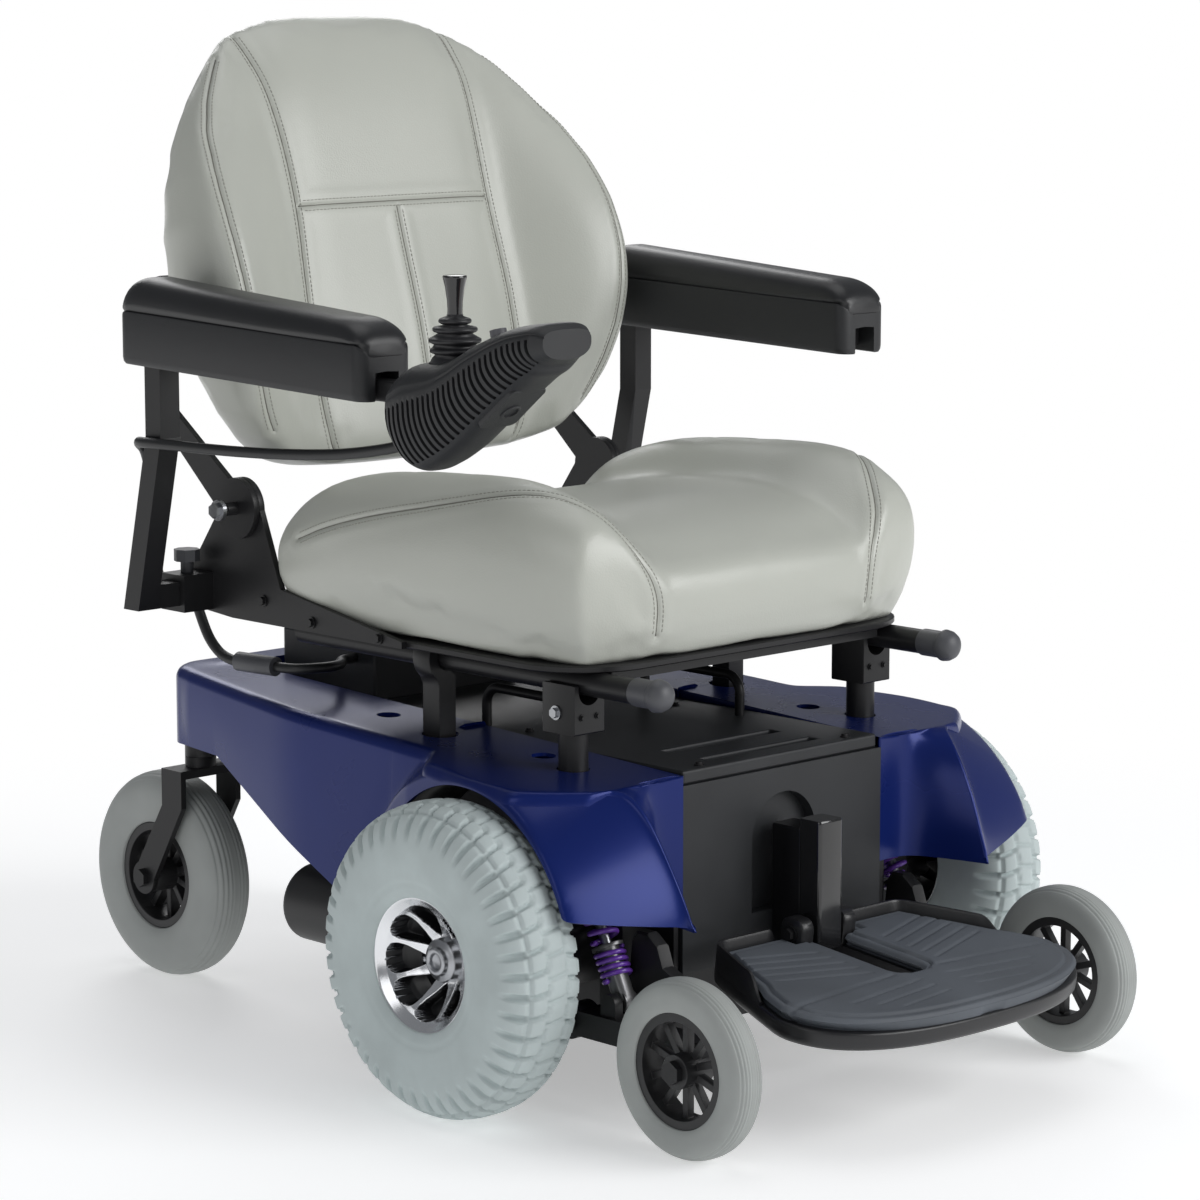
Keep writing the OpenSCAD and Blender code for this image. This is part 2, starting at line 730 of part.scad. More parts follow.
// Chassis: side plates and cross beams, the rear beam with its stem tubes, and the outriggers with pins
// and brackets
module chassis_frame() {
    rear_beam = caster_stem_y - beam_d / 2;
    plate = [[-box_front + lid_inset, frame_low], [-box_front + lid_inset, frame_top], [rear_beam,
        frame_top],
        [rear_beam, frame_top - beam_h], [box_rear + beam_d, frame_top - beam_h], [box_rear, box_z],
        [box_rear - beam_d, frame_low]];
    color("black") at_axle() {
        both() side_plate(plate_x, plate_out, plate);
        for (y = [-box_front + lid_inset, box_rear / 3, box_rear - beam_d])
            block([-plate_x - cut, y, frame_low], [plate_x + cut, y + beam_d, box_z]);
    }
}
module caster_beam() {
    rear_beam = caster_stem_y - beam_d / 2;
    color("black") at_axle() difference() {
        union() {
            block([-caster_x, rear_beam, frame_top - beam_h], [caster_x, rear_beam + beam_d, frame_top]);
            both() bar_z(caster_x, caster_stem_y, stem_bottom, stem_top, stem_tube_r);
        }
        both() bar_z(caster_x, caster_stem_y, stem_bottom - cut, stem_top + cut, stem_r + run_gap);
    }
}
module outriggers() {
    top_pin = [-pivot_y - lever_y + strut_len * sin(strut_lean), lever_pin_z + strut_len * cos(strut_lean)];
    color("black") at_axle() both() {
        block([plate_out, -outrigger_front, frame_low], [outrigger_x, -outrigger_back, outrigger_top]);
        bar_x(plate_out, arm_bar_x + arm_bar_w + leg_t, -pivot_y, pivot_z, pivot_r);
        bar_x(plate_out, strut_x - eye_w / 2, top_pin[0], top_pin[1], eye_r);
        for (y = [post_y, hook_y])
            block([plate_out, y - post_bracket_w / 2, frame_top - post_bracket_t],
                [post_bracket_x, y + post_bracket_w / 2, frame_top]);
    }
}
module battery_box() {
    color("#2b2d30") at_axle() difference() {
        block([-box_w / 2, -box_front, box_z], [box_w / 2, box_rear, box_top]);
        block([-box_w / 2 + box_wall, -box_front + box_front_wall, box_z + box_wall],
            [box_w / 2 - box_wall, box_rear - box_wall, box_top + cut]);
        translate([0, -box_front - cut, 0]) {
            block([-arch_w / 2, 0, box_z + beam_h], [arch_w / 2, arch_depth + cut,
                box_top - arch_top - arch_w / 2]);
            bar_y(0, 0, arch_depth + cut, box_top - arch_top - arch_w / 2, arch_w / 2);
        }
    }
}
module battery_lid() {
    half = box_w / 2 - lid_inset;
    slot = box_w * lid_slot_share / 2;
    color("#26282a") at_axle() difference() {
        block([-half, -box_front + lid_inset, box_top], [half, box_rear - lid_inset, box_top + lid_t]);
        for (k = [1, 3])
            block([-slot, -box_front + k * box_wall * lid_slot_w / 2, box_top + lid_t / 2],
                [slot, -box_front + k * box_wall * lid_slot_w / 2 + lid_slot_w, box_top + lid_t + cut]);
    }
}
module batteries() {
    inner = [box_w - 2 * box_wall - 2 * battery_gap, box_len - box_front_wall - box_wall - 3 * battery_gap];
    color("#3a3a3a") at_axle() for (k = [0, 1])
        translate([-inner[0] / 2, -box_front + box_front_wall + battery_gap + k * (inner[1] / 2
            + battery_gap),
            box_z + box_wall])
            cube([inner[0], inner[1] / 2, box_h - 2 * box_wall - battery_gap]);
}
module lid_handle() {
    r = handle_rod / 2;
    x = box_w / 2 * handle_x_share;
    y = box_rear * handle_y_share - handle_len / 2;
    low = box_top + lid_t;
    high = low + handle_rise;
    for (s = [0, 1])
        bar_z(x, y + s * handle_len, low, high - handle_bend, r);
    bar_y(x, y + handle_bend, y + handle_len - handle_bend, high, r);
    for (s = [0, 1])
        translate([x, y + handle_bend + s * (handle_len - 2 * handle_bend), high - handle_bend])
            mirror([0, 1 - s, 0]) rotate([90, 0, 90])
                rotate_extrude(angle = 90) translate([handle_bend, 0]) circle(r = r);
}
module lid_handles() {
    color("black") at_axle() both() lid_handle();
}
module control_module() {
    color("#222222") at_axle()
        block([-module_w / 2, module_y, frame_top], [module_w / 2, module_y + module_len, frame_top
            + module_h + beam_d]);
}
module gear_motor() {
    z = axle_z - motor_drop;
    dome_r = motor_d / 2;
    difference() {
        union() {
            bar_x(plate_out, gear_out, 0, axle_z, gear_r);
            bar_y(motor_x, 0, motor_reach - motor_dome, z, dome_r);
            translate([motor_x, motor_reach - motor_dome, z]) rotate([-90, 0, 0]) rotate_extrude()
                polygon(concat([[0, 0]], [for (t = [0:10:90]) [dome_r * cos(t), motor_dome * sin(t)]]));
        }
        bar_x(plate_out + shaft_in - cut, gear_out + cut, 0, axle_z, shaft_d / 2 + run_gap);
    }
}
module gear_motors() {
    color("#1c1c1e") at_axle() both() gear_motor();
}

// Shrouds
function shroud_top(y) = shroud_front_z + (shroud_rear_z - shroud_front_z) * (y
    + box_front) / (shroud_rear_y + box_front);
function shroud_profile(wall) = [[shroud_rear_y - wall, shroud_top(shroud_rear_y) - wall],
    [shroud_rear_y - wall, shroud_low_z - wall], [slope_y, shroud_low_z - wall],
    [slope_end_y, slope_end_z - wall * 2], [-box_front + wall, fender_low_z - wall * 2],
    [-box_front + wall, shroud_top(-box_front) - wall]];
fin_profile = let (top = shroud_top(-box_front), rise = (top - fender_low_z) * fin_top_share) concat(
    [[0, fender_low_z], [-shroud_tip, fender_low_z]],
    [for (t = [75:-15:0]) [-box_front - (shroud_tip - box_front) * sin(t),
        fender_low_z + rise * (1 - sin(t)) / (1 - sin(0)) * fin_top_share + (rise
            * (1 - fin_top_share)) * cos(t)]],
    [[0, top - shroud_wall * 2]]);
function plan_edge(inset) = [for (i = [0:len(plan_y_shares) - 1])
    [shroud_x * plan_x_shares[i] - inset, shroud_rear_y * plan_y_shares[i] - (i == 0 ? inset : 0)]];
function plan_outline(inset) = concat(plan_edge(inset),
    [[shroud_inner + inset, -shroud_tip - cut], [shroud_inner + inset, shroud_rear_y - rear_bridge + inset],
     [0, shroud_rear_y - rear_bridge + inset], [0, shroud_rear_y - inset]]);
module shroud_body(wall) {
    intersection() {
        side_plate(-cut, shroud_x + cut, shroud_profile(wall));
        linear_extrude(shroud_rear_z + shroud_wall) polygon(plan_outline(wall));
    }
}
lip_limits = [[slope_y, shroud_low_z], [slope_end_y, slope_end_z], [0, axle_z], [-shroud_tip, fender_low_z],
    [-shroud_tip, shroud_rear_z], [slope_y, shroud_rear_z]];
flare_low = fender_low_z + flare_inset;
flare_limits = [[slope_y, shroud_low_z + flare_inset], [slope_end_y, slope_end_z + flare_inset],
    [0, axle_z + flare_inset], [-arch_r * flare_end_share, flare_edge_z], [-shroud_tip - cut, flare_low],
    [-shroud_tip - cut, shroud_top(-box_front) - flare_inset],
    [-box_front, shroud_top(-box_front) - flare_inset], [slope_y, shroud_top(slope_y) - flare_inset]];
flare_plan = concat([[shroud_inner, -shroud_tip - 2 * cut], [shroud_x + flare_out, -shroud_tip - 2 * cut]],
    [for (i = [0:len(flare_y_shares) - 1])
        [shroud_x + flare_out * flare_x_shares[i], arch_r * flare_y_shares[i]]],
    [[shroud_inner, arch_r * flare_y_shares[len(flare_y_shares) - 1]]]);
// The cone around the wheel arch that stands out over the tyre, outside the side wall
module arch_flare() {
    difference() {
        intersection() {
            turned(shroud_x, 0, axle_z)
                polygon([[arch_r - cut, -flare_in], [arch_r - cut, flare_out], [arch_r + lip_t, flare_out],
                    [arch_r + flare_r, -flare_in]]);
            side_plate(shroud_x - flare_in - cut, shroud_x + flare_out + cut, flare_limits);
            linear_extrude(shroud_rear_z) polygon(flare_plan);
        }
        translate([0, 0, -cut]) linear_extrude(shroud_rear_z + 2 * cut) polygon(plan_outline(shroud_wall));
    }
}
module shroud() {
    color("#20207a") difference() {
        union() {
            arch_flare();
            difference() {
                shroud_body(0);
                shroud_body(shroud_wall);
                block([-cut, -shroud_tip, 0], [shroud_x + cut, shroud_rear_y + cut, slope_end_z]);
                block([0, shroud_rear_y - rear_bridge - cut, 0],
                    [shroud_inner + shroud_wall, shroud_rear_y - shroud_wall, shroud_low_z]);
                block([shroud_inner - cut, -box_front + shroud_wall, 0],
                    [plate_out, shroud_rear_y - rear_bridge + shroud_wall, frame_top]);
            }
            intersection() {
                side_plate(-cut, shroud_x + cut, fin_profile);
                difference() {
                    linear_extrude(shroud_rear_z) polygon(plan_outline(0));
                    translate([0, 0, -cut]) linear_extrude(shroud_rear_z + 2 * cut)
                        polygon(plan_outline(shroud_wall));
                    block([0, -shroud_tip - 2 * cut, -cut], [shroud_inner + 2 * shroud_wall,
                        shroud_rear_y, shroud_rear_z]);
                }
            }
            intersection() {
                difference() {
                    bar_x(shroud_x - lip_in, shroud_x + lip_out, 0, axle_z, arch_r + lip_t);
                    bar_x(shroud_x - lip_in - cut, shroud_x + lip_out + cut, 0, axle_z, arch_r);
                }
                side_plate(shroud_x - lip_in - cut, shroud_x + lip_out + cut, lip_limits);
            }
        }
        bar_x(shroud_x - lip_in, shroud_x + flare_out + cut, 0, axle_z, arch_r);
        bar_z(post_x, post_y, frame_top, shroud_rear_z + cut, post_hole_r);
        bar_z(post_x, hook_y, frame_top, shroud_rear_z + cut, hook_hole_r);
        bar_y(motor_x, 0, motor_reach, axle_z - motor_drop, motor_d / 2 + 3 * cut);
        for (s = extra_hole_y_shares)
            bar_z(shroud_x * extra_hole_x_share, shroud_rear_y * s, frame_top, shroud_rear_z + cut,
                extra_hole_r);
    }
}

// Seat posts with saddles, rails and pan
module seat_posts() {
    saddle_top = rail_z;
    color("black") at_axle() both() {
        difference() {
            union() {
                bar_z(post_x, post_y, frame_top, saddle_top - saddle_h, post_r);
                block([post_x - saddle_w / 2, post_y - saddle_d / 2, saddle_top - saddle_h],
                    [post_x + saddle_w / 2, post_y + saddle_d / 2, saddle_top]);
            }
            bar_y(post_x, post_y - saddle_d, post_y + saddle_d, rail_z, rail_r);
        }
        difference() {
            block([post_x - post_r, hook_y - post_r, frame_top], [post_x + post_r, hook_y + post_r,
                rail_z + hook_t / 2]);
            bar_y(post_x, hook_y - saddle_d, hook_y + saddle_d, rail_z, rail_r);
            block([post_x, hook_y - saddle_d, rail_z - rail_r], [post_x + saddle_w, hook_y + saddle_d,
                rail_z + saddle_h]);
        }
    }
}
module seat_rails() {
    color("#1a1a1a") at_axle() both() difference() {
        bar_y(post_x, -rail_front, rail_rear, rail_z, rail_r);
        bar_y(post_x, -rail_front - cut, rail_rear + cut, rail_z, rail_r - rail_wall);
    }
}
module rail_caps() {
    color("#55565a") at_axle() both() {
        difference() {
            bar_y(post_x, -rail_front, -rail_front + sleeve_len, rail_z, sleeve_r);
            bar_y(post_x, -rail_front - cut, -rail_front + sleeve_len + cut, rail_z, rail_r);
        }
        translate([post_x, -rail_front, rail_z]) rotate([90, 0, 0]) rotate_extrude()
            polygon(concat([[0, 0], [cap_r, 0]],
                [for (t = [0:15:90]) [cap_r * cos(t), cap_len / 2 + cap_len / 2 * sin(t)]]));
    }
}
module seat_pan() {
    color("#18181a") at_axle() {
        block([-pan_w / 2, -pan_front, pan_z], [pan_w / 2, rail_rear, pan_z + pan_t]);
        for (y = [-pan_front + cross_w / 2, rail_rear - cross_w * 1.5])
            block([-post_x + rail_r, y, pan_z - cross_h], [post_x - rail_r, y + cross_w, pan_z]);
    }
}
function seat_rise(x, v) = seat_h + bolster_h * bell((abs(x) - bolster_x) / bolster_w)
    - seam_dip * bell((abs(x) - seam_x) / seam_w) - waterfall * pow(max(0, -v), 4)
    - seat_rear_drop * pow(max(0, v), 3);
function seat_point(u, v) = let (x = u * seat_w / 2 * (1 - seat_corner_share * pow(abs(v), 6)),
    y = v * seat_len / 2 * (1 - seat_corner_share * pow(abs(u), 6)),
    edge = seat_edge_share + (1 - seat_edge_share) * sqrt((1 - pow(abs(u), 8)) * (1 - pow(abs(v), 10))))
    [x, -seat_front + seat_len / 2 + y, cushion_z + seat_rise(x, v) * edge];
module seat_cushion() {
    us = both_ways(seat_u_shares);
    top = [for (v = seat_v_shares, u = us) seat_point(u, v)];
    color("#bcbcb4") at_axle() padded_block(top, len(us), len(seat_v_shares), seat_side_shares,
        [0, -seat_front + seat_len / 2, cushion_z]);
}

// Hinge brackets with the armrest receivers, and the hinge pins of the backrest
module hinge_brackets() {
    plate = [[side_plate_front, pan_z], [recline_y + hinge_disc_r / 2, pan_z],
        [arm_y + receiver_w / 2, arm_z - receiver_w / 2], [arm_y + receiver_w / 2, arm_z + receiver_w / 2],
        [recline_y + hinge_disc_r, recline_z], [recline_y - hinge_disc_r, recline_z],
        [recline_y - 2 * hinge_disc_r, pan_z + side_plate_h], [side_plate_front, pan_z + pan_t]];
    color("#161618") at_axle() both() difference() {
        union() {
            side_plate(bracket_in, bracket_out, plate);
            bar_x(bracket_in, bracket_out, recline_y, recline_z, hinge_disc_r);
            bar_x(bracket_in, bracket_out + bracket_t + 2 * leg_t, recline_y, recline_z, hinge_pin_r);
            block([bracket_in, arm_y - receiver_w / 2, arm_z - receiver_w / 2],
                [bracket_out + receiver_len, arm_y + receiver_w / 2, arm_z + receiver_w / 2]);
        }
        bar_x(bracket_out, bracket_out + receiver_len + cut, arm_y, arm_z, spigot_r + run_gap);
    }
}
module receiver_knobs() {
    color("#101012") at_axle() both()
        translate([bracket_out + receiver_len / 2, arm_y, arm_z + receiver_w / 2]) {
            cylinder(h = knob_h, r = knob_r / 2);
            translate([0, 0, knob_h / 2]) cylinder(h = knob_h / 2, r = knob_r, $fn = 8);
        }
}

// Backrest
function mix_table(table, v) = lookup(v, table);
function back_half(v) = back_w / 2 * mix_table(back_w_shares, v);
function back_depth(u, v) = back_t + back_bolster * pow(abs(u), 4) * sin(180 * min(1, v * 1.1 + 0.1))
    - back_dip * bell((abs(u) - back_seam_share) / back_dip_share)
    - (abs(u) < back_seam_share ? back_dip * bell((v - back_cross_share) / back_dip_share * 2) : 0)
    - back_roll * pow(v, 6);
function back_point(u, v) = let (half = back_half(v),
    edge = back_edge_share + (1 - back_edge_share) * sqrt((1 - pow(abs(u), 8)) * (1 - pow(abs(2
        * v - 1), 12))))
    [u * half, v * back_h - back_top_drop * pow(abs(u), 3) * v, back_depth(u, v) * edge];
back_ring_shares = [[1.02, 0.7], [1.02, 0.4], [0.985, 0.12], [0.95, 0]];
// Stands a back piece, drawn flat with its front face up, on the hinge line
module on_back() {
    translate([0, recline_y, recline_z]) rotate([-back_tilt, 0, 0])
        translate([0, back_t + back_front, back_bottom]) rotate([90, 0, 0]) children();
}
module backrest_cushion() {
    us = both_ways(back_u_shares);
    top = [for (v = back_v_shares, u = us) back_point(u, v)];
    color("#bcbcb4") at_axle() on_back() padded_block(top, len(us), len(back_v_shares), back_ring_shares,
        [0, back_h * 0.48, 0]);
}
module backrest_shell() {
    half = [for (k = [1:len(back_w_shares) - 3]) [back_half(back_w_shares[k][0]) * shell_share,
        back_w_shares[k][0] * back_h]];
    color("#1d1e20") at_axle() on_back() translate([0, 0, -shell_t - air_gap]) linear_extrude(shell_t)
        polygon(concat(half, [for (p = flip(half)) [-p[0], p[1]]]));
}
module back_canes() {
    from = [recline_y, recline_z];
    knee = from + cane_knee;
    top = from + cane_top;
    color("#141416") at_axle() both() difference() {
        union() {
            bar_x(bracket_out + air_gap, bracket_out + air_gap + bracket_t, recline_y, recline_z,
                hinge_disc_r);
            side_plate(bracket_out + air_gap, bracket_out + air_gap + bracket_t,
                [[from[0] - hinge_disc_r, from[1]], [from[0] + hinge_disc_r, from[1]], [knee[0]
                    + cane_w / 2, knee[1]],
                 [top[0] + cane_w / 2, top[1]], [top[0] - cane_w / 2, top[1]], [knee[0] - cane_w / 2,
                     knee[1]]]);
        }
        bar_x(bracket_in, bracket_out + 3 * bracket_t, recline_y, recline_z, hinge_pin_r + run_gap);
    }
    color("#141416") at_axle() on_back() translate([0, 0, -shell_t - 2 * air_gap - back_bar_t])
        block([-bracket_out - bracket_t, back_bar_up, 0], [bracket_out + bracket_t, back_bar_up
            + back_bar_h, back_bar_t]);
}

// Armrests
arm_front = arm_rear - arm_len;
function arm_line(y) = arm_under + arm_slope * (y - arm_front) / arm_len;
module arm_frame() {
    t = arm_tube / 2;
    top = arm_line(arm_rear) + channel_h / 2;
    kink = rail_z + upright_kink + arm_hinge_h;
    upright = [[arm_y - t, arm_z - t], [arm_y + t, arm_z - t], [upright_y + t, kink], [upright_y + t, top],
        [upright_y - t, top], [upright_y - t, kink]];
    color("#151517") {
        side_plate(arm_x - t, arm_x + t, upright);
        block([bracket_out + receiver_len + air_gap, arm_y - t, arm_z - t], [arm_x, arm_y + t, arm_z + t]);
        bar_x(bracket_out + air_gap, arm_x, arm_y, arm_z, spigot_r);
        block([arm_x - t, arm_bar_front, arm_line(arm_bar_front) + t / 2],
            [arm_x + t, upright_y, arm_under + channel_h + arm_slope / 2]);
    }
}
module arm_body() {
    color("#3b3c40") difference() {
        side_plate(arm_x - arm_w / 2, arm_x + arm_w / 2,
            [[arm_front, arm_under], [arm_rear, arm_line(arm_rear)], [arm_rear, arm_line(arm_rear)
                + arm_body_h],
             [arm_front, arm_under + arm_body_h]]);
        block([arm_x - channel_w / 2, arm_front - cut, arm_under - cut],
            [arm_x + channel_w / 2, arm_rear - arm_w / 5, arm_under + channel_h + arm_slope / 2]);
    }
}
module arm_pad() {
    front = arm_under + arm_body_h;
    rear = arm_line(arm_rear) + arm_body_h;
    color("#26272a") intersection() {
        side_plate(arm_x - arm_w / 2, arm_x + arm_w / 2,
            [[arm_front, front], [arm_rear, rear], [arm_rear, rear + pad_rear_h - pad_edge],
             [arm_rear - pad_edge, rear + pad_rear_h], [arm_front + 2 * pad_edge, front + pad_front_h],
             [arm_front, front + pad_front_h - pad_edge]]);
        translate([arm_x, arm_rear, 0]) rotate([90, 0, 0]) linear_extrude(arm_len) polygon(
            [[-arm_w / 2, front], [arm_w / 2, front], [arm_w / 2, rear + pad_rear_h - pad_edge],
             [arm_w / 2 - pad_edge, rear + pad_rear_h], [pad_edge - arm_w / 2, rear + pad_rear_h],
             [-arm_w / 2, rear + pad_rear_h - pad_edge]]);
    }
}

// Hand controller on the right armrest
module on_panel(x, along, up) {
    base = pod_side_shares[7];
    translate([arm_x + x, pod_rear - pod_len * base[0], pod_low + pod_h * base[1]])
        rotate([-panel_tilt, 0, 0])
        translate([0, -along, up]) children();
}
module controller_case() {
    points = [for (p = pod_side_shares) [pod_rear - p[0] * pod_len, pod_low + p[1] * pod_h]];
    color("#303134") right() at_axle() difference() {
        union() {
            intersection() {
                side_plate(arm_x - pod_w / 2, arm_x + pod_w / 2, points);
                translate([0, 0, pod_low]) linear_extrude(pod_h)
                    polygon([for (p = pod_plan_shares) [arm_x + p[0] * pod_w, pod_rear - p[1] * pod_len]]);
            }
            block([arm_x - clamp_w / 2, pod_rear - clamp_h, arm_line(arm_bar_front) + arm_tube / 4],
                [arm_x + clamp_w / 2, arm_front - air_gap, arm_line(arm_bar_front) + arm_tube / 4
                    + clamp_h]);
            bar_y(arm_x, arm_front - clamp_h, arm_bar_front, arm_line(arm_bar_front) + arm_tube / 4
                + clamp_h / 2,
                clamp_h / 3);
        }
        translate([arm_x, stick_y, stick_z - well_depth]) cylinder(h = pod_h, r = well_r);
        bar_x(arm_x - well_r - 4 * gimbal_pin, arm_x + well_r + 4 * gimbal_pin, stick_y, stick_z,
            gimbal_pin + run_gap);
        for (s = [-1, 1])
            on_panel(s * button_x, button_along, -button_hole) cylinder(h = pod_h, r = button_r + air_gap);
        tube_along([[arm_x, pod_rear - clamp_h, arm_route[0][2]], [arm_x, pod_rear + cut, arm_route[0][2]]],
            cable_d / 2, cable_sides, [1, 0, 0]);
    }
}
module button(s) {
    right() at_axle() on_panel(s * button_x, button_along, button_travel + air_gap - button_hole)
        cylinder(h = button_hole + button_h - button_travel, r = button_r);
}
module power_button() {
    color("firebrick") button(-1);
}
module horn_button() {
    color("gray") button(1);
}
module at_stick() {
    right() at_axle() translate([arm_x, stick_y, stick_z]) children();
}
module joystick_gimbal() {
    color("silver") at_stick() difference() {
        union() {
            translate([0, 0, -gimbal_t / 2]) cylinder(h = gimbal_t, r = gimbal_r);
            bar_x(-well_r - 2 * gimbal_pin, well_r + 2 * gimbal_pin, 0, 0, gimbal_pin);
        }
        translate([0, 0, -gimbal_t]) cylinder(h = 2 * gimbal_t, r = gimbal_bore);
        bar_y(0, -gimbal_r - cut, gimbal_r + cut, 0, gimbal_pin + run_gap);
    }
}
module joystick_lever() {
    color("#1b1b1d") at_stick() {
        bar_z(0, 0, -gimbal_t, stick_h - knob_len + cut, lever_r);
        bar_y(0, -gimbal_r, gimbal_r, 0, gimbal_pin);
        translate([0, 0, stick_h - knob_len]) rotate_extrude() polygon([[0, 0], [knob_low_r * 0.9, 0],
            [knob_low_r, knob_len * 0.15], [knob_low_r, knob_len * 0.4], [knob_top_r, knob_len * 0.93],
            [knob_top_r * 0.85, knob_len], [0, knob_len]]);
    }
}
// Folds of the boot: each rib swells and draws in again, narrowing upward
function boot_outline() = [for (i = [0:boot_ribs * 8]) let (s = i / (boot_ribs * 8),
    mean = boot_r + (boot_top_r - boot_r) * s)
    [mean - mean * 0.11 * (1 + cos(360 * s * boot_ribs)), boot_low + boot_h * s]];
module joystick_boot() {
    color("#17171a") at_stick() rotate_extrude()
        polygon(concat(boot_outline(), [[lever_r, boot_low + boot_h], [lever_r, boot_low]]));
}

// Foot platform
foot_half = foot_w / 2;
foot_mid = foot_len * (1 - front_share);
function foot_outline(share) = let (a = foot_half * share, b = foot_len * front_share * share) concat(
    [for (t = [0:7.5:180]) let (c = cos(t), s = sin(t))
        [a * sign(c) * pow(abs(c), 2 / front_power), -foot_mid - b * pow(abs(s), 2 / front_power)]],
    [[-a * (1 + rear_w_share) / 2, -foot_mid * 0.4], [-a * rear_w_share, foot_back * share],
     [a * rear_w_share, foot_back * share], [a * (1 + rear_w_share) / 2, -foot_mid * 0.4]]);
slot_half = post_w / 2 + slot_side_gap;
module on_foot() {
    at_axle() translate([0, -foot_hinge_y, foot_hinge_z]) rotate([foot_tilt, 0, 0]) children();
}
module foot_slot(low, high) {
    block([-slot_half, -slot_len + slot_half, low], [slot_half, foot_back + lug_r + cut, high]);
    bar_z(0, -slot_len + slot_half, low, high, slot_half);
}
module foot_plate() {
    top = -mat_drop - mat_t;
    color("#19191b") on_foot() difference() {
        union() {
            translate([0, 0, top - foot_t]) linear_extrude(foot_t) polygon(foot_outline(1));
            intersection() {
                translate([0, 0, top - cut]) linear_extrude(rim_up + cut) difference() {
                    polygon(foot_outline(1));
                    polygon(foot_outline(mat_share));
                }
                block([-foot_half, -rim_len, top - cut], [foot_half, foot_back, top + rim_up]);
            }
            for (s = [-1, 1]) {
                a = s * (slot_half + lug_t / 2);
                block([a - lug_t / 2, -lug_r, top - cut], [a + lug_t / 2, lug_r, 0]);
                bar_x(a - lug_t / 2, a + lug_t / 2, 0, 0, lug_r);
            }
        }
        foot_slot(top - foot_t - cut, 2 * lug_r);
        bar_x(-foot_half, foot_half, 0, 0, foot_pin_r + run_gap);
    }
}
module foot_mat() {
    lug_out = slot_half + lug_t + air_gap;
    color("#2f3236") on_foot() difference() {
        translate([0, 0, -mat_drop - mat_t]) linear_extrude(mat_t) polygon(foot_outline(mat_share
            * mat_share));
        foot_slot(-mat_drop - 2 * mat_t, lug_r);
        block([-lug_out, -lug_r - air_gap, -mat_drop - 2 * mat_t], [lug_out, foot_back + lug_r, lug_r]);
    }
}
module foot_post() {
    front = -foot_hinge_y - post_lead;
    color("#1b1b1d") at_axle() {
        block([-post_w / 2, front, post_bottom], [post_w / 2, -box_front, post_top]);
        bar_x(-slot_half - lug_t, slot_half + lug_t, -foot_hinge_y, foot_hinge_z, foot_pin_r);
    }
}

// Cable, in the stretch that the armrest carries and the stretch on the base, with its plug
module controller_cable() {
    color("#0e0e10") right() at_axle()
        tube_along(smooth_route(arm_route, cable_steps), cable_d / 2 - air_gap / 3, cable_sides, [0, 0, 1]);
}
module base_cable() {
    color("#0e0e10") right() at_axle() {
        tube_along(smooth_route(base_route, cable_steps), cable_d / 2, cable_sides, [0, 0, 1]);
        tube_along(smooth_route(tail_route, cable_steps), cable_d / 2, cable_sides, [0, 0, 1]);
    }
}
module cable_connector() {
    from = base_route[len(base_route) - 1];
    to = tail_route[0];
    lean = atan2(from[0] - to[0], from[1] - to[1]);
    color("#44464a") right() at_axle() translate(to) rotate([-90, 0, -lean])
        translate([0, 0, plug_gap]) cylinder(h = norm(from - to) - 2 * plug_gap, r = plug_r);
}

chassis_frame();
caster_beam();
outriggers();
battery_box();
battery_lid();
batteries();
lid_handles();
control_module();
gear_motors();
right() at_axle() shroud();  // shroud_right
at_axle() shroud();  // shroud_left
seat_posts();
foot_post();
at_axle() both() strut_rod();  // strut_rods
seat_rails();
rail_caps();
seat_pan();
hinge_brackets();
receiver_knobs();
seat_cushion();
base_cable();
cable_connector();
right() at_axle() strut_spring();  // strut_spring_right
at_axle() strut_spring();  // strut_spring_left
right() at_axle() drive_tyre();  // drive_tyre_right
right() at_axle() drive_rim();  // drive_rim_right
at_axle() drive_tyre();  // drive_tyre_left
at_axle() drive_rim();  // drive_rim_left
right() at_axle() caster_fork();  // caster_fork_right
at_axle() caster_fork();  // caster_fork_left
right() at_axle() caster_tyre();  // caster_tyre_right
right() at_axle() caster_hub();  // caster_hub_right
at_axle() caster_tyre();  // caster_tyre_left
at_axle() caster_hub();  // caster_hub_left
right() at_axle() antitip_arm();  // antitip_arm_right
at_axle() antitip_arm();  // antitip_arm_left
right() at_axle() antitip_tyre();  // antitip_tyre_right
right() at_axle() antitip_hub();  // antitip_hub_right
at_axle() antitip_tyre();  // antitip_tyre_left
at_axle() antitip_hub();  // antitip_hub_left
right() at_axle() strut_damper();  // strut_damper_right
at_axle() strut_damper();  // strut_damper_left
foot_plate();
foot_mat();
back_canes();
backrest_shell();
backrest_cushion();
right() at_axle() arm_frame();  // arm_frame_right
right() at_axle() arm_body();  // arm_body_right
right() at_axle() arm_pad();  // arm_pad_right
at_axle() arm_frame();  // arm_frame_left
at_axle() arm_body();  // arm_body_left
at_axle() arm_pad();  // arm_pad_left
controller_case();
controller_cable();
power_button();
horn_button();
joystick_gimbal();
joystick_lever();
joystick_boot();
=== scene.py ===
# %% [markdown]
# # An all terrain power wheelchair
# The solid model is loaded as a fixed frame, and this lesson dresses it: tyres get their tread, cushions their
# seams, shrouds their paint. Sizes are in millimetres here, with y measured back from the drive axle, as a
# workshop drawing of the chair would give them, and one helper turns them into Blender's metres.

# %% Load the frame
import math
import bmesh
import bpy
import numpy as np
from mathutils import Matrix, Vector
from mathutils.kdtree import KDTree


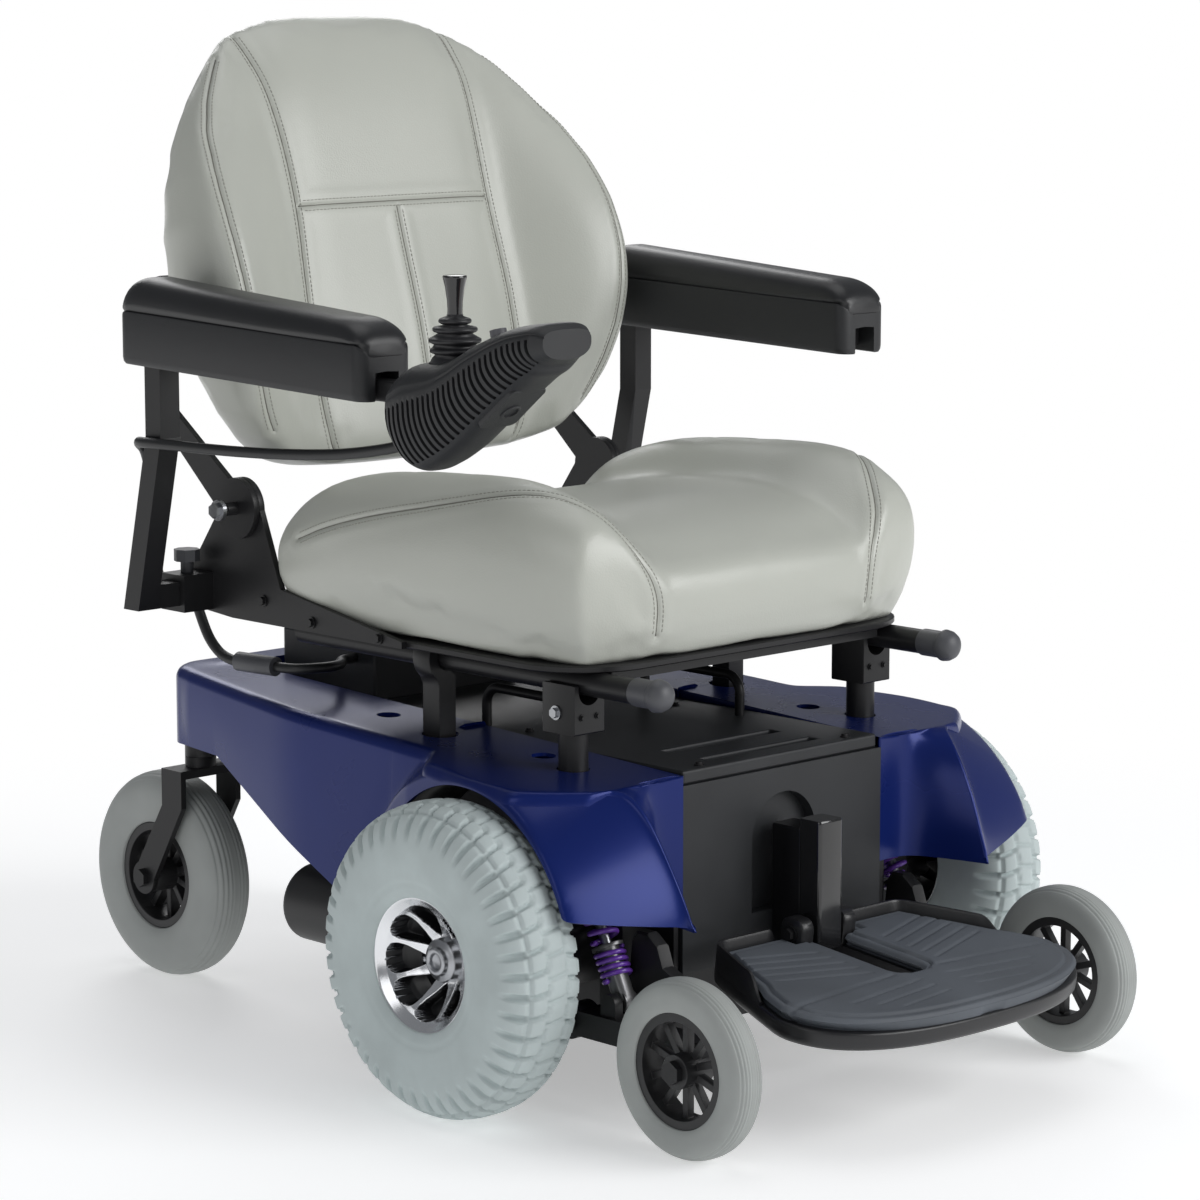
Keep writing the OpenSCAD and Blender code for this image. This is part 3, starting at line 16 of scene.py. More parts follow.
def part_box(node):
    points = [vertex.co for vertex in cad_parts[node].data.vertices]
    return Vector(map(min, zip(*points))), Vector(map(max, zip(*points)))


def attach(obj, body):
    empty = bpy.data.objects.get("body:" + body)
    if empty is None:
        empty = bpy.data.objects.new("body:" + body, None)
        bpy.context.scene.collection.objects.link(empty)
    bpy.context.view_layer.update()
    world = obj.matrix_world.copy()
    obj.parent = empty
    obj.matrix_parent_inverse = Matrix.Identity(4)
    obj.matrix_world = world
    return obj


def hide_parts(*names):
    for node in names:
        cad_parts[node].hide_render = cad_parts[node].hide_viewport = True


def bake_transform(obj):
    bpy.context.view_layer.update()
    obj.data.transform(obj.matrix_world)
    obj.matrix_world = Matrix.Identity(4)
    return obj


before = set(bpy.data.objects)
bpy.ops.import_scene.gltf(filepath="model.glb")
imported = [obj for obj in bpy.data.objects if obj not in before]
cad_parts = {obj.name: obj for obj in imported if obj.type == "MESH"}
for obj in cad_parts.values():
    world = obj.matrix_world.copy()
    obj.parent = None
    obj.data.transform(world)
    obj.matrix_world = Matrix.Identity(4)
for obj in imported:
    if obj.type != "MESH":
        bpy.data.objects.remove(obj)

scene = bpy.context.scene
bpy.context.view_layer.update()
tyre_low, tyre_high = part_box("drive_tyre_left")
AXLE_Y = (tyre_low[1] + tyre_high[1]) * 500
print("drive axle at y", round(AXLE_Y, 3), "mm, frame nodes", len(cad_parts))


def at(x, y, z):
    return Vector((x / 1000, (y + AXLE_Y) / 1000, z / 1000))


# %% [markdown]
# ## Camera
# The picture was taken from the chair's right front, a little above the top of its back, with a long lens. The
# place and the focal length were fitted to the wheels, which are circles of known size. The backrest still comes
# out a little left of where the picture has it.

# %% Camera
lens = bpy.data.cameras.new("photo_camera")
lens.lens = 121.26
lens.sensor_width = 36
lens.clip_end = 60
camera = bpy.data.objects.new("photo_camera", lens)
camera.location = at(-2514, -2495, 977)
camera.rotation_euler = (math.radians(90 - 9.07), 0, math.radians(-43.82))
scene.collection.objects.link(camera)
scene.camera = camera

# %% [markdown]
# ## Studio
# A pale floor and large soft lamps, as in a catalogue studio. The world gives the object a little bluish light and
# shows the camera plain white, so the background is clean while colours stay as written. Node trees are written with
# two helpers: `add` makes a node with its settings, and `wire` links nodes.

# %% Studio light
def add(tree, kind, inputs=(), **settings):
    node = tree.nodes.new(kind)
    for key, value in settings.items():
        setattr(node, key, value)
    return fill_in(node, inputs)


def fill_in(node, inputs):
    for key, value in dict(inputs).items():
        node.inputs[key].default_value = value
    return node


def wire(tree, *rows):
    for source, output, target, socket in rows:
        tree.links.new(source.outputs[output], target.inputs[socket])


scene.view_settings.view_transform = "Standard"
world = bpy.data.worlds.new("studio")
scene.world = world
world.use_nodes = True
sky = world.node_tree
sky.nodes.clear()
sky_out = add(sky, "ShaderNodeOutputWorld")
sky_mix = add(sky, "ShaderNodeMixShader")
sky_dim = add(sky, "ShaderNodeBackground", {"Color": (0.92, 0.95, 1, 1), "Strength": 0.21})
sky_white = add(sky, "ShaderNodeBackground", {"Color": (1, 1, 1, 1), "Strength": 1})
ray = add(sky, "ShaderNodeLightPath")
wire(sky, (ray, "Is Camera Ray", sky_mix, "Fac"), (sky_dim, 0, sky_mix, 1), (sky_white, 0, sky_mix, 2),
     (sky_mix, 0, sky_out, "Surface"))


def softbox(name, place, target, size, watts):
    lamp = bpy.data.lights.new(name, "AREA")
    lamp.shape = "RECTANGLE"
    lamp.size, lamp.size_y = size
    lamp.energy = watts
    holder = bpy.data.objects.new(name, lamp)
    holder.location = place
    holder.rotation_euler = (Vector(target) - Vector(place)).to_track_quat("-Z", "Y").to_euler()
    scene.collection.objects.link(holder)


softbox("key_light", (1.5, -3.7, 2.0), (0, 0, 0.45), (3.0, 2.6), 118)
softbox("fill_light", (-3.6, -1.0, 2.0), (0, 0, 0.4), (2.2, 2.0), 16)
softbox("top_light", (0.2, 0.6, 3.8), (0, 0, 0.3), (3.0, 2.4), 26)
softbox("back_light", (1.8, 3.2, 2.4), (0, 0, 0.6), (2.4, 1.6), 34)

# %% Floor
floor_mesh = bpy.data.meshes.new("studio_floor")
floor_mesh.from_pydata([(-30, -30, 0), (30, -30, 0), (30, 30, 0), (-30, 30, 0)], [], [(0, 1, 2, 3)])
floor = bpy.data.objects.new("studio_floor", floor_mesh)
scene.collection.objects.link(floor)
floor_paint = bpy.data.materials.new("studio_floor")
floor_paint.use_nodes = True
ground = floor_paint.node_tree
shade = fill_in(ground.nodes["Principled BSDF"],
                {"Base Color": (0.86, 0.865, 0.87, 1), "Roughness": 0.6, "Specular IOR Level": 0.2})
spot = add(ground, "ShaderNodeTexCoord")
away = add(ground, "ShaderNodeVectorMath", operation="LENGTH")
fade = add(ground, "ShaderNodeMapRange", {"From Min": 0.75, "From Max": 1.5}, interpolation_type="SMOOTHSTEP")
glow = add(ground, "ShaderNodeEmission", {"Strength": 0.40})
lift = add(ground, "ShaderNodeAddShader")
white = add(ground, "ShaderNodeEmission")
blend = add(ground, "ShaderNodeMixShader")
wire(ground, (spot, "Object", away, 0), (away, "Value", fade, "Value"), (shade, 0, lift, 0), (glow, 0, lift, 1),
     (fade, "Result", blend, "Fac"), (lift, 0, blend, 1), (white, 0, blend, 2),
     (blend, 0, ground.nodes["Material Output"], "Surface"))
floor_mesh.materials.append(floor_paint)

# %% [markdown]
# ## Finishes
# Every finish comes from one recipe: a base colour that wanders a little with slow noise, a roughness that wanders
# with it, and a fine bump for the grain of vinyl, the texture of moulded plastic or the peel of powder coat. All
# patterns read Object coordinates, so they stay put on the piece from every side.

# %% One recipe for the finishes
GRAIN_DEPTH = 0.0004


def finish(name, colour, vary, rough, wander, grain, bump, metal=0.0, coat=0.0, coat_rough=0.08, level=0.5,
           kind="noise"):
    made = bpy.data.materials.new(name)
    made.use_nodes = True
    tree = made.node_tree
    skin = fill_in(tree.nodes["Principled BSDF"], {"Metallic": metal, "Coat Weight": coat,
                                                   "Coat Roughness": coat_rough, "Specular IOR Level": level})
    where = add(tree, "ShaderNodeTexCoord")
    slow = add(tree, "ShaderNodeTexNoise", {"Scale": wander, "Detail": 5})
    ramp = add(tree, "ShaderNodeValToRGB")
    for stop, place, change in zip(ramp.color_ramp.elements, (0.3, 0.7), (1 - vary, 1 + vary)):
        stop.position = place
        stop.color = (*[min(1, c * change) for c in colour], 1)
    span = add(tree, "ShaderNodeMapRange", {"To Min": rough[0], "To Max": rough[1]})
    pebble = kind == "pebble"
    fine = add(tree, "ShaderNodeTexVoronoi" if pebble else "ShaderNodeTexNoise", {"Scale": grain})
    relief = add(tree, "ShaderNodeBump", {"Strength": bump, "Distance": GRAIN_DEPTH})
    wire(tree, (where, "Object", slow, "Vector"), (slow, "Fac", ramp, "Fac"), (ramp, "Color", skin, "Base Color"),
         (slow, "Fac", span, "Value"), (span, "Result", skin, "Roughness"), (where, "Object", fine, "Vector"),
         (fine, "Distance" if pebble else "Fac", relief, "Height"), (relief, "Normal", skin, "Normal"))
    return made


# %% Finishes
VINYL = finish("grey_vinyl", (0.465, 0.478, 0.432), 0.03, (0.28, 0.38), 7, 620, 0.2, kind="pebble", level=0.6)
VINYL_THREAD = finish("vinyl_thread", (0.30, 0.30, 0.265), 0.1, (0.7, 0.8), 60, 2000, 0.2)
# The seam finish colours the thin dark line laid in each seam: painted shade of the seam's groove.
SEAM_SHADE = finish("vinyl_seam_shade", (0.21, 0.208, 0.185), 0.08, (0.7, 0.8), 40, 2000, 0.1, level=0.2)
BLUE = finish("blue_metallic_paint", (0.0055, 0.0165, 0.130), 0.08, (0.24, 0.32), 6, 5200, 0.05, metal=0.3, coat=0.22,
              coat_rough=0.2, level=0.15)
TYRE = finish("grey_tyre_rubber", (0.49, 0.555, 0.555), 0.08, (0.66, 0.82), 22, 900, 0.15)
CASTER_RUBBER = finish("grey_caster_rubber", (0.335, 0.352, 0.342), 0.06, (0.5, 0.66), 22, 900, 0.12)
FRAME = finish("black_powder_coat", (0.013, 0.013, 0.014), 0.2, (0.32, 0.44), 12, 1500, 0.12, level=0.32)
BOX = finish("black_box_plastic", (0.024, 0.0255, 0.028), 0.15, (0.36, 0.5), 14, 1700, 0.35, level=0.32)
MOTOR = finish("black_motor_paint", (0.010, 0.010, 0.011), 0.2, (0.4, 0.52), 16, 900, 0.15)
ALLOY = finish("polished_alloy", (0.80, 0.81, 0.83), 0.03, (0.14, 0.24), 30, 1400, 0.04, metal=1.0)
# This very dark finish is the platform slide's own matt black, and painted shade where it fills the rim windows and the
# controller's slots.
MATT_BLACK_AND_SHADE = finish("matt_black_and_painted_shade", (0.006, 0.006, 0.007), 0.2, (0.25, 0.36), 20, 900, 0.06)
HUB = finish("black_hub_plastic", (0.014, 0.014, 0.015), 0.2, (0.36, 0.5), 20, 1300, 0.2)
STEEL = finish("satin_steel", (0.42, 0.43, 0.45), 0.06, (0.26, 0.4), 40, 1300, 0.06, metal=1.0)
DAMPER = finish("damper_tube", (0.20, 0.20, 0.205), 0.08, (0.3, 0.42), 30, 1300, 0.06, metal=0.7)
PURPLE = finish("purple_spring_coat", (0.17, 0.055, 0.46), 0.1, (0.3, 0.4), 30, 1200, 0.06, coat=0.4)
CHARCOAL = finish("charcoal_moulded_plastic", (0.017, 0.0178, 0.0195), 0.1, (0.4, 0.5), 12, 1900, 0.4, level=0.4)
PAD = finish("black_armrest_skin", (0.012, 0.0125, 0.0138), 0.14, (0.3, 0.4), 10, 1100, 0.18, kind="pebble")
MAT = finish("dark_rubber_mat", (0.085, 0.096, 0.112), 0.12, (0.56, 0.7), 14, 1500, 0.35)
PLATE = finish("black_platform_plastic", (0.012, 0.012, 0.0135), 0.15, (0.3, 0.42), 12, 1500, 0.2)
CABLE = finish("black_cable_jacket", (0.012, 0.0125, 0.0135), 0.15, (0.4, 0.5), 30, 1100, 0.1)
CAP = finish("grey_end_cap", (0.070, 0.072, 0.080), 0.08, (0.42, 0.52), 24, 1300, 0.15)
BOOT = finish("black_boot_rubber", (0.012, 0.012, 0.014), 0.15, (0.38, 0.5), 40, 1500, 0.15)
GLOSS = finish("gloss_black_knob", (0.010, 0.010, 0.011), 0.1, (0.1, 0.16), 40, 900, 0.02, coat=0.5)
RED = finish("red_button", (0.30, 0.02, 0.02), 0.08, (0.35, 0.45), 60, 1500, 0.1)
KEY = finish("grey_button", (0.10, 0.10, 0.11), 0.08, (0.4, 0.5), 60, 1500, 0.1)
print("finishes:", len(bpy.data.materials))

# %% [markdown]
# ## Helpers for pieces
# A piece is a mesh whose place is in its points. `piece` builds it with its faces turned outwards, `give` says which
# body carries it and which solid it stands for, and hides that solid. `loft` skins a list of
# rings, and bars, turned profiles and slices are lofts too. `joined` puts several of them into one piece.

# %% Mesh helpers
def piece(name, points, faces, materials, smooth=True, merge=0.0, which=None):
    mesh = bpy.data.meshes.new(name)
    mesh.from_pydata([tuple(p) for p in points], [], faces)
    for m in materials if isinstance(materials, (list, tuple)) else [materials]:
        mesh.materials.append(m)
    if which is not None:
        mesh.polygons.foreach_set("material_index", which)
    solid = bmesh.new()
    solid.from_mesh(mesh)
    if merge:
        bmesh.ops.remove_doubles(solid, verts=solid.verts, dist=merge)
    bmesh.ops.recalc_face_normals(solid, faces=solid.faces)
    solid.to_mesh(mesh)
    solid.free()
    mesh.polygons.foreach_set("use_smooth", [smooth] * len(mesh.polygons))
    made = bpy.data.objects.new(name, mesh)
    scene.collection.objects.link(made)
    return made


def give(made, body, stands_for=()):
    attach(made, body)
    if stands_for:
        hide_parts(*([stands_for] if isinstance(stands_for, str) else stands_for))
    return made


def loft(rings, closed=True, turn=False):
    rows, cols = len(rings), len(rings[0])
    points = [p for ring in rings for p in ring]
    faces = []
    for i in range(rows if turn else rows - 1):
        for k in range(cols if closed else cols - 1):
            a, b = i * cols + k, i * cols + (k + 1) % cols
            c, d = ((i + 1) % rows) * cols + (k + 1) % cols, ((i + 1) % rows) * cols + k
            faces.append((a, b, c, d))
    if closed and not turn:
        faces.append(tuple(range(cols))[::-1])
        faces.append(tuple((rows - 1) * cols + k for k in range(cols)))
    return points, faces


def soften(made, width=1.2, angle=35, steps=2):
    weld = made.modifiers.new("weld", "WELD")
    weld.merge_threshold = 0.00002
    edge = made.modifiers.new("soft_edges", "BEVEL")
    edge.width = width / 1000
    edge.segments = steps
    edge.limit_method = "ANGLE"
    edge.angle_limit = math.radians(angle)
    edge.use_clamp_overlap = True
    edge.harden_normals = False


def baked(made):
    shape = made.evaluated_get(bpy.context.evaluated_depsgraph_get())
    mesh = bpy.data.meshes.new_from_object(shape)
    made.modifiers.clear()
    made.data = mesh
    return made


def smooth(made):
    made.data.polygons.foreach_set("use_smooth", [True] * len(made.data.polygons))


def crease(made, degrees):
    made.data.set_sharp_from_angle(angle=math.radians(degrees))
    return made


def joined(parts):
    """Several lots of points and faces as one."""
    points, faces = [], []
    for p, f in parts:
        faces += [tuple(i + len(points) for i in q) for q in f]
        points += p
    return points, faces


def around(count):
    return np.linspace(0, 2 * math.pi, count, endpoint=False)


# %% Shape helpers
def rod(place, r, ends, count):
    """A round bar. place takes the two offsets across it and a station along it."""
    return loft([[place(r * math.cos(a), r * math.sin(a), e) for a in around(count)] for e in ends])


def revolved(place, profile, count):
    """A profile of radius and height, turned."""
    return loft([[place(r * math.cos(a), r * math.sin(a), h) for r, h in profile] for a in around(count)],
                closed=False, turn=True)


def slice_of(outline, steps, place):
    """An outline given depth. Each step is a place along the depth and the outline's scale there."""
    mid = [sum(p[i] for p in outline) / len(outline) for i in (0, 1)]
    return loft([[place(mid[0] + (u - mid[0]) * k, mid[1] + (v - mid[1]) * k, e) for u, v in outline]
                 for e, k in steps])


def thicken(made, metres, offset):
    wall = made.modifiers.new("wall", "SOLIDIFY")
    wall.thickness, wall.offset = metres, offset
    return baked(made)


def cut_out(made, tool, solver):
    hole = made.modifiers.new("hole", "BOOLEAN")
    hole.object, hole.operation, hole.solver = tool, "DIFFERENCE", solver
    baked(made)
    bpy.data.objects.remove(tool)


def rounded(x, y0, y1, front, rear, steps):
    """A rectangle from -x to x and from y0 to y1, with its own corner radius at each end."""
    return [(sx * (x - r) + r * math.cos(a), (y1 - r if sy > 0 else y0 + r) + r * math.sin(a))
            for sx, sy, r, start in ((1, 1, rear, 0), (-1, 1, rear, 90), (-1, -1, front, 180), (1, -1, front, 270))
            for a in np.radians(np.linspace(start, start + 90, steps))]


def stacked(plan, mid, steps, place=at):
    """A plan lofted upwards. Each step is the plan's scale about its middle, and a height."""
    return loft([[place(x * k, mid + (y - mid) * k, h) for x, y in plan] for k, h in steps])


# %% Curves and places used throughout
def glide(low, high, v):
    """From 0 to 1 with soft ends, as v goes from low to high."""
    t = min(1, max(0, (v - low) / (high - low)))
    return t * t * (3 - 2 * t)


def bell(t):
    return math.exp(-t * t)


SIDES = (("right", -1), ("left", 1))
DRIVE_X, AXLE_Z = 296, 136.5
RAIL_X, RAIL_Z = 181, 366

# %% [markdown]
# ## Controller cable
# One flexible lead runs from the hand controller under the armrest to a tie on the upright, down to the hinge and
# into a plug over the motor cover. A short second lead goes on from the plug. The first crosses the armrest's
# turning axis. A tube carried along a smooth curve through the route's
# points keeps its round section.

# %% Cable
ARM_ROUTE = [(297, 44, 574), (298, 70, 566), (300, 130, 556), (304, 200, 550), (309, 270, 547), (314, 340, 546),
             (315, 385, 545), (309, 402, 543), (298, 408, 534), (288, 414, 512), (276, 424, 476), (264, 440, 436),
             (252, 451, 412), (242, 455, 402), (228, 456, 400)]
BASE_ROUTE = [(217, 456, 399), (209, 454, 390), (206, 450, 372), (205, 438, 350), (204, 424, 337), (203, 410, 331.8),
              (202, 398, 331)]
TAIL_ROUTE = [(196, 350, 331), (194.5, 339, 331), (189, 327, 331), (175, 319, 331), (154, 320, 330),
              (132, 334, 328), (117, 352, 326), (105, 362, 325), (91, 363, 325)]


def smooth_route(points, steps):
    p = [Vector(v) for v in points]
    out = []
    for i in range(len(p) - 1):
        a, b, c, d = p[max(i - 1, 0)], p[i], p[i + 1], p[min(i + 2, len(p) - 1)]
        for k in range(steps):
            t = k / steps
            out.append(0.5 * (2 * b + (c - a) * t + (2 * a - 5 * b + 4 * c - d) * t * t
                              + (3 * b - a - 3 * c + d) * t ** 3))
    return out + [p[-1]]


def tube_rings(path, radius, sides):
    rings, normal = [], None
    for i, p in enumerate(path):
        along = (path[min(i + 1, len(path) - 1)] - path[max(i - 1, 0)]).normalized()
        if normal is None:
            normal = along.orthogonal()
        normal = (normal - along * normal.dot(along)).normalized()
        side = along.cross(normal)
        rings.append([p + radius * (math.cos(2 * math.pi * k / sides) * normal
                                    + math.sin(2 * math.pi * k / sides) * side) for k in range(sides)])
    return loft(rings)


def tube(name, path, radius, material, sides=14):
    return piece(name, *tube_rings([Vector(p) for p in path], radius, sides), material)


def run_length(path):
    return sum((Vector(b) - Vector(a)).length for a, b in zip(path, path[1:]))


# %% Leads
lead_path = [at(-x, y, z) for x, y, z in smooth_route(ARM_ROUTE + BASE_ROUTE, 7)]
lead = tube("controller_lead", lead_path, 0.0049, CABLE)
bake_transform(lead)
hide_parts("controller_cable", "base_cable")
tail_path = [at(-x, y, z) for x, y, z in smooth_route(TAIL_ROUTE, 7)]
tail = give(tube("plug_lead", tail_path, 0.0048, CABLE), "base", "base_cable")
print("controller lead", round(run_length(lead_path), 3), "m, plug lead", round(run_length(tail_path), 3), "m")

# %% [markdown]
# ## Tyres
# The drive tyres are soft grey rubber with a block tread. The tread follows a rule, so it is drawn as a height over
# the round section: a pair of wavering grooves, cross cuts between the blocks, and lugs that fade down the side
# walls. The small tyres have plain ribs, so their grooves are part of the turned section.

# %% Drive tyres
def turned(x, y, z, section, count):
    angles = around(count)
    return [[at(x + a, y + r * math.sin(t), z + r * math.cos(t)) for a, r in section] for t in angles]


def smoothstep(edge0, edge1, value):
    """glide, for whole arrays."""
    t = np.clip((value - edge0) / (edge1 - edge0), 0, 1)
    return t * t * (3 - 2 * t)


def squarish(v, power):
    """A cosine or sine pushed outwards, which turns a circle into a squarer round."""
    return np.sign(v) * np.abs(v) ** (2 / power)


BLOCKS = 44


def drive_section():
    turn = np.radians(np.linspace(-148, 148, 97))
    r, x = 89.6 + 46.9 * squarish(np.cos(turn), 2.7), 41 * squarish(np.sin(turn), 2.7)
    keep = r > 57
    return x[keep], r[keep]


def tread_depth(s, angle):
    side = np.abs(s)
    phase = angle * BLOCKS / (2 * math.pi)
    wave = np.abs((phase + 0.25) % 1 - 0.5) * 4 - 1
    ring = np.exp(-((side - 11 - 1.6 * wave * np.sign(s)) / 1.3) ** 2) * (2.2 + 1.2 * (np.abs(phase % 1 - 0.5) > 0.3))
    cross = np.abs((phase + 0.5 * (s > 0) + 0.012 * side) % 1 - 0.5)
    blocks = 3.6 * (1 - smoothstep(0.07, 0.13, cross)) * smoothstep(11, 13.5, side) * (1 - smoothstep(27, 30, side))
    ring2 = 2.4 * np.exp(-((side - 28.5) / 1.5) ** 2)
    lug = np.abs((phase + 0.5 * (s > 0) + 0.34) % 1 - 0.5)
    lugs = 4.4 * (1 - smoothstep(0.12, 0.2, lug)) * smoothstep(28, 31, side) * (1 - smoothstep(40, 58, side))
    middle = 2.2 * (1 - smoothstep(0.04, 0.09, np.abs((phase + 0.1 * s / 10) % 1 - 0.5))) * (side < 10.5)
    return 1.3 * np.maximum.reduce([ring, blocks, ring2, lugs, middle])


def drive_tyre(name, sign):
    x, r = drive_section()
    crown = len(x) // 2
    s = np.concatenate([[0], np.cumsum(np.hypot(np.diff(x), np.diff(r)))])
    s = s - s[crown]
    nx, nr = np.gradient(x, s), np.gradient(r, s)
    rings = []
    for a in around(BLOCKS * 16):
        d = tread_depth(s, a)
        bead = 0.7 * np.exp(-((np.abs(s) - 74) / 1.6) ** 2) - 0.8 * np.exp(-((np.abs(s) - 92) / 1.2) ** 2)
        px, pr = x + (d - bead) * nr, r - (d - bead) * nx
        ring = [at(sign * (DRIVE_X + u), v * math.sin(a), AXLE_Z + v * math.cos(a)) for u, v in zip(px, pr)]
        rings.append(ring)
    return piece(name, *loft(rings, turn=True), TYRE)


for side, sign in SIDES:
    give(drive_tyre("drive_tread_" + side, sign), "drive_wheel_" + side, "drive_tyre_" + side)
print("drive tyres with", BLOCKS, "tread blocks a turn")


# %% Caster and stabiliser tyres
def ribbed_section(d, w, hub, grooves, depth):
    mid, half = (hub / 2 - w / 5 + d / 2) / 2, (d / 2 - hub / 2 + w / 5) / 2
    turn = np.radians(np.linspace(-150, 150, 121))
    r, x = mid + half * squarish(np.cos(turn), 2.6), w / 2 * squarish(np.sin(turn), 2.6)
    for g in grooves:
        r = r - depth * np.exp(-((x - g * w) / (0.018 * w)) ** 2) * (r > mid)
    keep = r > hub / 2 - 0.5
    return list(zip(x[keep], r[keep]))


RIBS = (-0.36, -0.27, -0.18, -0.09, 0, 0.09, 0.18, 0.27, 0.36)
for side, sign in SIDES:
    for part, body, x, y, d, w, hub in (("caster", "caster_wheel_", 164, 551, 200, 50, 104),
                                        ("antitip", "stabiliser_wheel_", 240, -230, 152, 32, 98)):
        section = ribbed_section(d, w, hub, RIBS, 1.1)
        rings = turned(sign * x, y, d / 2, section, 144)
        rib = piece(part + "_ribbed_tyre_" + side, *loft(rings, turn=True), CASTER_RUBBER)
        give(rib, body + side, part + "_tyre_" + side)
print("ribbed tyres with", len(RIBS), "grooves each")

# %% [markdown]
# ## Drive rims
# The rims are polished castings with nine fan-shaped windows that look black inside. A dished face is drawn as a
# polar grid, and the windows are pressed into it: where a window lies, the face drops and takes a very dark finish,
# which is painted shade for the dark inside seen through the open windows.

# %% Rims
WINDOWS, WINDOW_DEPTH = 9, 17


def rim_face(r):
    return np.interp(r, (17, 22, 30, 40, 47, 50, 53, 57, 59.5, 61), (3, 4, 9, 17, 24, 28.5, 31, 34.5, 35, 32))


def window_depth(r, angle):
    swirl = angle + 0.10 * np.sin((r - 22) / 26 * math.pi / 2)
    off = np.abs((swirl * WINDOWS / (2 * math.pi)) % 1 - 0.5) * 2 * math.pi / WINDOWS
    half = np.interp(r, (20, 24, 30, 38, 44, 47.5, 49.5, 50.5), (-0.06, 0.12, 0.20, 0.270, 0.285, 0.26, 0.15, -0.1))
    edge = (off - half) * r
    return smoothstep(0.9, -0.9, edge)


def drive_rim(side, sign):
    radii = np.concatenate([np.linspace(17, 26, 10), np.linspace(27, 46, 22), np.linspace(46.7, 52, 12),
                            np.linspace(53, 61, 9)])
    angles = around(576)
    rings = []
    depths = np.array([window_depth(radii, a) for a in angles])
    barrel = [(61, -31), (57, -33), (53, -31), (53, 2), (20, -6), (17, -6)]
    for a, row in zip(angles, depths):
        face = [(r, rim_face(r) - WINDOW_DEPTH * w) for r, w in zip(radii, row)]
        rings.append([at(sign * (DRIVE_X + u), r * math.sin(a), AXLE_Z + r * math.cos(a)) for r, u in face + barrel])
    # Window faces and the barrel behind them take the very dark finish: painted shade for the dark inside seen through
    # the open windows.
    which = []
    for row in depths:
        which += [int(a + b > 0.5) for a, b in zip(row, row[1:])] + [0] * 3 + [1] * (len(barrel) - 2)
    made = piece("alloy_rim_" + side, *loft(rings, turn=True), [ALLOY, MATT_BLACK_AND_SHADE], which=which)
    return give(made, "drive_wheel_" + side, "drive_rim_" + side)


# %% Hubs and bolts
def hub_stack(side, sign):
    section = [(-147, 0), (-147, 10.9), (-46, 10.9), (-46, 23), (-44, 24), (-6, 24), (-6, 19), (10, 19), (12, 17.5),
               (12, 13), (14, 12), (16.5, 12), (17.5, 11), (17.5, 7.5), (16, 7), (14, 7), (13, 6), (13, 0)]
    rings = turned(sign * DRIVE_X, 0, AXLE_Z, [(sign * u, r) for u, r in section], 48)
    made = piece("hub_and_shaft_" + side, *loft(rings, closed=False, turn=True), STEEL, merge=0.00002)
    return give(made, "drive_wheel_" + side, ())


BOLT_CIRCLE = 29
for side, sign in SIDES:
    drive_rim(side, sign)
    hub_stack(side, sign)
    heads = []
    for a in np.radians((100, 220, 340)):
        head = [(sign * (u - 1), r) for u, r in ((6, 0), (6, 2.2), (5, 3), (-2, 3), (-2, 0))]
        y, z = BOLT_CIRCLE * math.sin(a), AXLE_Z + BOLT_CIRCLE * math.cos(a)
        heads.append(loft(turned(sign * DRIVE_X, y, z, head, 16), closed=False, turn=True))
    bolted = piece("rim_bolts_" + side, *joined(heads), STEEL, merge=0.00002)
    give(bolted, "drive_wheel_" + side, ())
print("rims with", WINDOWS, "windows each")

# %% [markdown]
# ## Seat and backrest cushions
# Grey vinyl over moulded foam. Each cushion starts as a closed form on a square grid whose rim rolls over into drawn-in
# sides, then it is remeshed evenly and inflated a little as cloth, which evens out the curves. Seams are
# pulled in afterwards, along routes dropped onto the surface, because a remesh would wipe them away.

# %% Rolling a grid over a rim
RIM_ROLL = ((0.0, 0.880, 1.0), (0.14, 0.925, 0.990), (0.28, 0.962, 0.955), (0.42, 0.988, 0.88), (0.55, 1.0, 0.75),
            (0.68, 1.0, 0.56), (0.8, 0.985, 0.36), (0.9, 0.955, 0.15), (1.0, 0.925, 0.0))


def rolled_form(count, core, place, height, low):
    """Top grid with a rolled rim and a flat underside. place maps the square to the plan, height is above low."""
    rows = []
    span = np.linspace(-1, 1, count)
    stations, scales, drops = zip(*RIM_ROLL)
    for q in span:
        rows.append([])
        for p in span:
            r = max(abs(p), abs(q), 1e-9)
            if r <= core:
                a, b, k, drop = p / core, q / core, RIM_ROLL[0][1], 1.0
            else:
                t = (r - core) / (1 - core)
                a, b = p / r, q / r
                k, drop = np.interp(t, stations, scales), np.interp(t, stations, drops)
            x, y = place(a, b, k)
            rows[-1].append((x, y, low + drop * height(a, b, x, y)))
    points, faces = loft(rows, closed=False)
    rim = [i for i in range(count)] + [j * count + count - 1 for j in range(1, count)]
    rim += [(count - 1) * count + i for i in range(count - 2, -1, -1)] + [j * count for j in range(count - 2, 0, -1)]
    mid = len(points)
    points.append((0, place(0, 0, 1)[1], low))
    faces += [(rim[(k + 1) % len(rim)], rim[k], mid) for k in range(len(rim))]
    return points, faces


# %% Inflating a cushion
VOXEL, MOVE_CAP, CLOTH_FRAMES, PRESSURE = 0.005, 0.005, 20, 4.0


